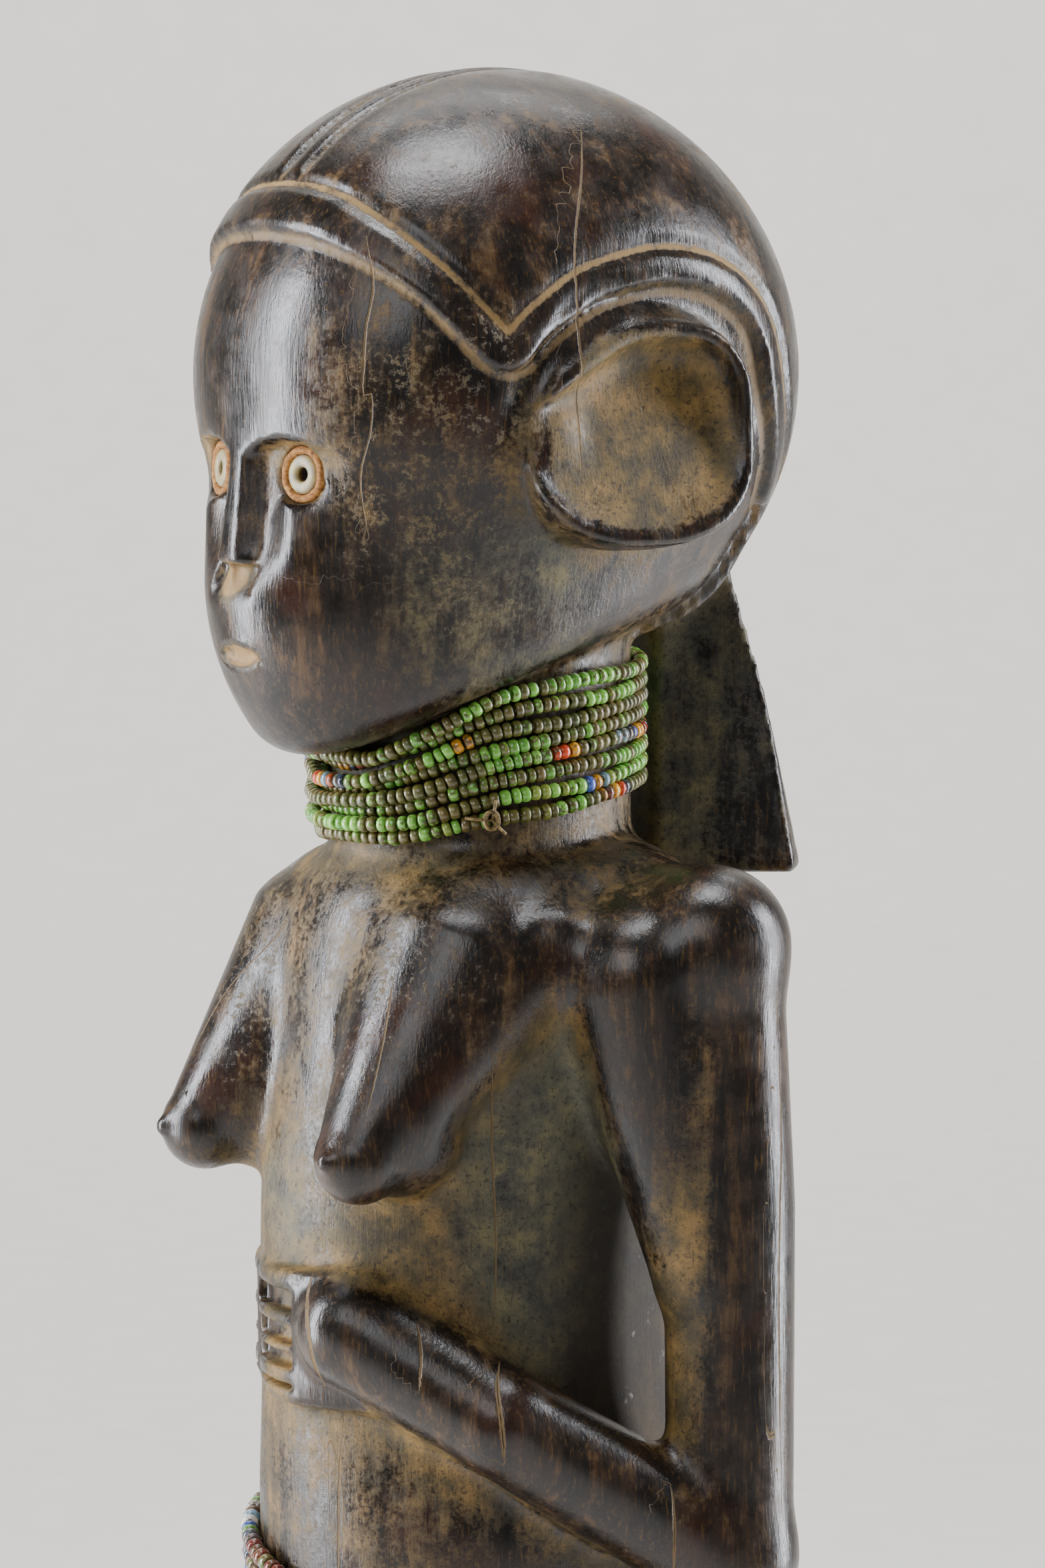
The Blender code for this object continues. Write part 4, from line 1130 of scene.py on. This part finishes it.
def plant_fibre():
    """Twisted plant fibre, stiff with oil: tan, thin and a little shiny."""
    made = bpy.data.materials.new("Oiled plant fibre")
    made.use_nodes = True
    tree = made.node_tree
    tree.nodes.clear()
    ply = noise(tree, stretched(tree, 1, 1, 1), 0.0007, 3, 0.6)
    finish(tree, Base_Color=ramp(tree, ply, [(0.35, "#4a3a1e"), (0.65, "#a58a52")]), Roughness=0.5, IOR=1.5)
    return made


def tie_knot(look):
    """The knot of the neck string: a small lump of fibre over the lowest turn, with three ends."""
    turn = (180 + KNOT_TURN) / 360
    place = neck_route[round(turn * NECK_ROUTE_STEPS)]
    out = Vector((place[0], place[1], 0)).normalized()
    side = Vector((0, 0, 1)).cross(out)
    centre = Vector(place) + out * 0.0011
    draw = random.Random(3)
    lines = []
    for n in range(4):
        lean = draw.uniform(-0.5, 0.5)
        loop = []
        for k in range(13):
            a = 2 * math.pi * k / 12
            flat = side * (0.0010 * math.cos(a)) + Vector((0, 0, 0.0014 * math.sin(a)))
            loop.append(centre + flat + out * (0.0005 * math.sin(a + 2 * n) + 0.0004) + side * lean * 0.001)
        lines.append(loop)
    for reach, drop, sway in ((0.0034, -0.0020, 0.6), (0.0040, 0.0004, -1.0), (0.0030, 0.0030, 0.2)):
        lines.append([
            centre + out * (0.0009 * math.sin(2.6 * s)) + side * (sway * reach * s) + Vector((0, 0, drop * s))
            for s in np.linspace(0, 1, 6)
        ])
    curve = bpy.data.curves.new("neck_thread", "CURVE")
    curve.dimensions = "3D"
    curve.bevel_depth = THREAD_DIAMETER / 2
    curve.bevel_resolution = 2
    curve.use_fill_caps = True
    for points in lines:
        line = curve.splines.new("POLY")
        line.points.add(len(points) - 1)
        for point, at in zip(line.points, points):
            point.co = (*at, 1)
    made = bpy.data.objects.new("neck_thread", curve)
    bpy.context.scene.collection.objects.link(made)
    mesh = bpy.data.meshes.new_from_object(made.evaluated_get(bpy.context.evaluated_depsgraph_get()))
    bpy.data.objects.remove(made)
    made = bpy.data.objects.new("neck_thread", mesh)
    bpy.context.scene.collection.objects.link(made)
    mesh.materials.clear()
    mesh.materials.append(look)
    mesh.shade_smooth()
    return made


def turned(name, place, outline, look, lumps=0.0, sides=48):
    """A turned piece from its closed (radius, height) outline, in metres, with lumps on its face."""
    points, faces = rings(outline, sides)
    turn = np.arctan2(points[:, 1], points[:, 0])
    wave = np.sin(3 * turn + 1) + 0.7 * np.sin(7 * turn + 2) + 0.5 * np.sin(13 * turn)
    points[:, 2] += lumps * wave * (points[:, 2] > -EYE_DISC_THICKNESS / 2)
    mesh = bpy.data.meshes.new(name)
    mesh.from_pydata(points.tolist(), [], faces.tolist())
    mesh.shade_smooth()
    mesh.materials.append(look)
    made = bpy.data.objects.new(name, mesh)
    made.matrix_world = place
    bpy.context.scene.collection.objects.link(made)
    return made


def eye_place(side):
    """Where an eye sits: its disc's axis points along local Z, out of the face."""
    middle, out = eye_frame()
    middle.x *= side
    out.x *= side
    return Matrix.Translation(middle * SHARE) @ out.to_track_quat("Z", "Y").to_matrix().to_4x4()


def ochre_resin():
    """Tree resin with ochre stirred in, pressed into the eye socket: matt, grainy and uneven.

    It is painted nearly black where the disc's hole bares it, as shade in the hole.
    """
    made = bpy.data.materials.new("Ochre resin")
    made.use_nodes = True
    tree = made.node_tree
    tree.nodes.clear()
    even = stretched(tree, 1, 1, 1)
    clot = noise(tree, even, 0.0009, 6, 0.75)
    look = ramp(tree, clot, [(0.34, "#4c2c10"), (0.44, "#8a5520"), (0.55, "#b07732"), (0.68, "#c49a58")])
    # Painted shade: nearly black inside the disc's hole.
    reach = node(tree, "ShaderNodeVectorMath", {"operation": "LENGTH"}, _0=stretched(tree, 1, 1, 0))
    hole_shade = between(tree, reach.outputs["Value"], EYE_DISC_HOLE_RADIUS + 0.0003, EYE_DISC_HOLE_RADIUS)
    look = blend(tree, hole_shade, look, "#100a05")
    relief = node(tree, "ShaderNodeBump", Strength=0.8, Distance=0.0004, Height=clot)
    finish(tree, Base_Color=look, Roughness=0.7, IOR=1.5, Normal=relief.outputs["Normal"])
    return made


def disc_shell():
    """A disc bead ground from pale shell, yellowed and rubbed with ochre: a dull waxy gloss."""
    made = bpy.data.materials.new("Pale disc bead")
    made.use_nodes = True
    tree = made.node_tree
    tree.nodes.clear()
    even = stretched(tree, 1, 1, 1)
    stain = noise(tree, even, 0.0022, 5, 0.65)
    look = ramp(tree, stain, [(0.34, "#7b6f50"), (0.44, "#938a71"), (0.54, "#a99867"), (0.7, "#bfae7e")])
    relief = node(tree, "ShaderNodeBump", Strength=0.4, Distance=0.00015, Height=stain)
    finish(tree, Base_Color=look, Roughness=0.45, IOR=1.53, Normal=relief.outputs["Normal"])
    return made


def set_eye(side, name, resin, disc):
    place = eye_place(side)
    outer, floor = EYE_SOCKET_RADIUS, -EYE_SOCKET_DEPTH
    bed = EYE_DISC_RADIUS + 0.00015
    brim = [(0.0006, -0.0016), (bed, -0.0014), (bed, -0.0004), (bed + 0.0003, -0.0001), (bed + 0.0007, 0.0)]
    brim += [(outer - 0.0003, -0.0002), (outer, -0.0007), (outer, floor), (0.0006, floor)]
    ring = turned(f"resin_{name}", place, brim[::-1], resin, 0.00007)
    hole, edge = EYE_DISC_HOLE_RADIUS, 0.0004
    top, under = -0.0001, -EYE_DISC_THICKNESS
    outline = [(hole, under), (EYE_DISC_RADIUS, under), (EYE_DISC_RADIUS, top - edge), (EYE_DISC_RADIUS - edge, top)]
    outline += [(hole + 0.0003, top), (hole, top - 0.0003)]
    bead = turned(f"disc_bead_{name}", place, outline, disc)
    for made, cad, slot in ((ring, f"eye_resin_{name}", "resin"), (bead, f"eye_disc_{name}", "disc_bead")):
        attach(made, "root")
        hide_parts(cad)


def soft_box(name, place, aim, size, power, tint):
    """A rectangular lamp that points at a place."""
    data = bpy.data.lights.new(name, "AREA")
    data.shape = "RECTANGLE"
    data.size, data.size_y = size
    data.energy = power
    data.color = colour(tint)[:3]
    made = bpy.data.objects.new(name, data)
    made.location = place
    made.rotation_mode = "QUATERNION"
    made.rotation_quaternion = (Vector(aim) - Vector(place)).to_track_quat("-Z", "Y")
    bpy.context.scene.collection.objects.link(made)


def around(turn, distance, height):
    """A place at this many degrees round from the front, as the camera's own azimuth counts."""
    angle = math.radians(turn)
    return (distance * math.sin(angle), -distance * math.cos(angle), height)


def set_stage():
    """A pale floor that sweeps up behind into a backdrop."""
    mesh = bpy.data.meshes.new("floor")
    rows = [(-6.0, 0.0), (2.2, 0.0)]
    rows += [(2.2 + 1.2 * math.sin(a), 1.2 - 1.2 * math.cos(a)) for a in np.radians(np.arange(6, 91, 6))]
    rows += [(3.4, 6.0)]
    turn = Matrix.Rotation(math.radians(CAMERA_AZIMUTH), 4, "Z")
    points = [turn @ Vector((x, y, z)) for y, z in rows for x in (-7, 7)]
    faces = [(2 * n, 2 * n + 1, 2 * n + 3, 2 * n + 2) for n in range(len(rows) - 1)]
    mesh.from_pydata([tuple(p) for p in points], [], faces)
    mesh.shade_smooth()
    made = bpy.data.objects.new("floor", mesh)
    bpy.context.scene.collection.objects.link(made)
    paper = bpy.data.materials.new("Pale backdrop paper")
    paper.use_nodes = True
    tree = paper.node_tree
    tree.nodes.clear()
    tone = noise(tree, stretched(tree, 1, 1, 1), 0.02, 3, 0.5)
    finish(tree, Base_Color=ramp(tree, tone, [(0.3, "#dcd9d4"), (0.7, "#e0ddd8")]), Roughness=0.9)
    mesh.materials.append(paper)


# The camera looks from the figure's left front, a little down, as the photograph does.
CAMERA_AZIMUTH = 56.0
CAMERA_PITCH = 5.5
CAMERA_DISTANCE = 1.1
FRAME_HEIGHT = 0.240
AXIS_SHIFT = 0.0063
VIEW_HEIGHT = 0.3109


def set_camera():
    angle, pitch = math.radians(CAMERA_AZIMUTH), math.radians(CAMERA_PITCH)
    right = Vector((math.cos(angle), math.sin(angle), 0))
    target = right * AXIS_SHIFT + Vector((0, 0, VIEW_HEIGHT))
    back = Vector((math.sin(angle) * math.cos(pitch), -math.cos(angle) * math.cos(pitch), math.sin(pitch)))
    data = bpy.data.cameras.new("camera")
    data.sensor_width = 36.0
    data.lens = data.sensor_width * CAMERA_DISTANCE / FRAME_HEIGHT
    data.clip_start = 0.01
    camera = bpy.data.objects.new("camera", data)
    camera.location = target + back * CAMERA_DISTANCE
    camera.rotation_mode = "QUATERNION"
    camera.rotation_quaternion = (-back).to_track_quat("-Z", "Y")
    bpy.context.scene.collection.objects.link(camera)
    bpy.context.scene.camera = camera


def set_light():
    """A big soft box overhead, a weaker one in front, a strip at each side for the rims, and a dim room."""
    world = bpy.data.worlds.new("room")
    bpy.context.scene.world = world
    world.use_nodes = True
    world.node_tree.nodes["Background"].inputs["Color"].default_value = colour("#c4c6c8")
    world.node_tree.nodes["Background"].inputs["Strength"].default_value = 0.28
    head = (0, 0, 0.33)
    soft_box("top", around(CAMERA_AZIMUTH, 0.08, 1.25), head, (0.52, 0.36), 10, "#fafbff")
    soft_box("key", around(CAMERA_AZIMUTH - 22, 1.05, 0.95), head, (0.7, 0.6), 4.5, "#fafbff")
    soft_box("left_strip", around(CAMERA_AZIMUTH - 88, 0.9, 0.36), head, (0.26, 1.0), 27, "#f4f7ff")
    soft_box("right_strip", around(CAMERA_AZIMUTH + 98, 0.9, 0.38), head, (0.18, 1.0), 20, "#f4f7ff")
    behind = around(CAMERA_AZIMUTH + 180, 3, 1)
    soft_box("backdrop", around(CAMERA_AZIMUTH + 180, 1.5, 2.6), behind, (2.4, 0.8), 120, "#ffffff")


set_camera()
HAIRLINE = hairline()
set_stage()
set_light()
wood = dark_hardwood()
carving = carve_wood()
carving.data.materials.clear()
carving.data.materials.append(wood)
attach(carving, "root")
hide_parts("figure")
resin, shell = ochre_resin(), disc_shell()
for side, name in ((1, "left"), (-1, "right")):
    set_eye(side, name, resin, shell)

green = glass_beads(
    "Green glass seed beads",
    [
        (0.0, "#74b344"),
        (0.16, "#5f9a3a"),
        (0.28, "#84963f"),
        (0.34, "#86c252"),
        (0.40, "#d9961f"),
        (0.52, "#c8401f"),
        (0.62, "#7a3c34"),
        (0.68, "#2a3346"),
        (0.80, "#4560b4"),
        (0.88, "#6f8c97"),
    ],
)
mixed = glass_beads(
    "Mixed glass seed beads",
    [
        (0.0, "#6e2c20"),
        (0.2, "#5b8a3c"),
        (0.36, "#8fb3c9"),
        (0.52, "#d9d6cb"),
        (0.66, "#2f4f96"),
        (0.78, "#4b5560"),
        (0.9, "#c29a33"),
    ],
)
NECK_ROUTE_STEPS = 72
neck_route = string_route(
    NECK_STRING_TURNS, NECK_ROUTE_STEPS, neck_string_height, NECK_BEAD_DIAMETER, (20, 34), NECK_STRING_SPREAD
)
hip_route = string_route(HIP_STRING_TURNS, 90, hip_string_height, HIP_BEAD_DIAMETER, (20, 44))
neck = string_beads("neck_bead_strings", neck_route, NECK_BEAD_DIAMETER, green, neck_bead_looks, 4)
hips = string_beads("hip_bead_strings", hip_route, HIP_BEAD_DIAMETER, mixed, hip_bead_looks, 7)
thread = tie_knot(plant_fibre())
for piece, cad, slot in (
    (neck, "neck_beads", "neck_glass"),
    (thread, "neck_beads", "neck_glass"),
    (hips, "hip_beads", "hip_glass"),
):
    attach(piece, "root")
    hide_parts(cad)
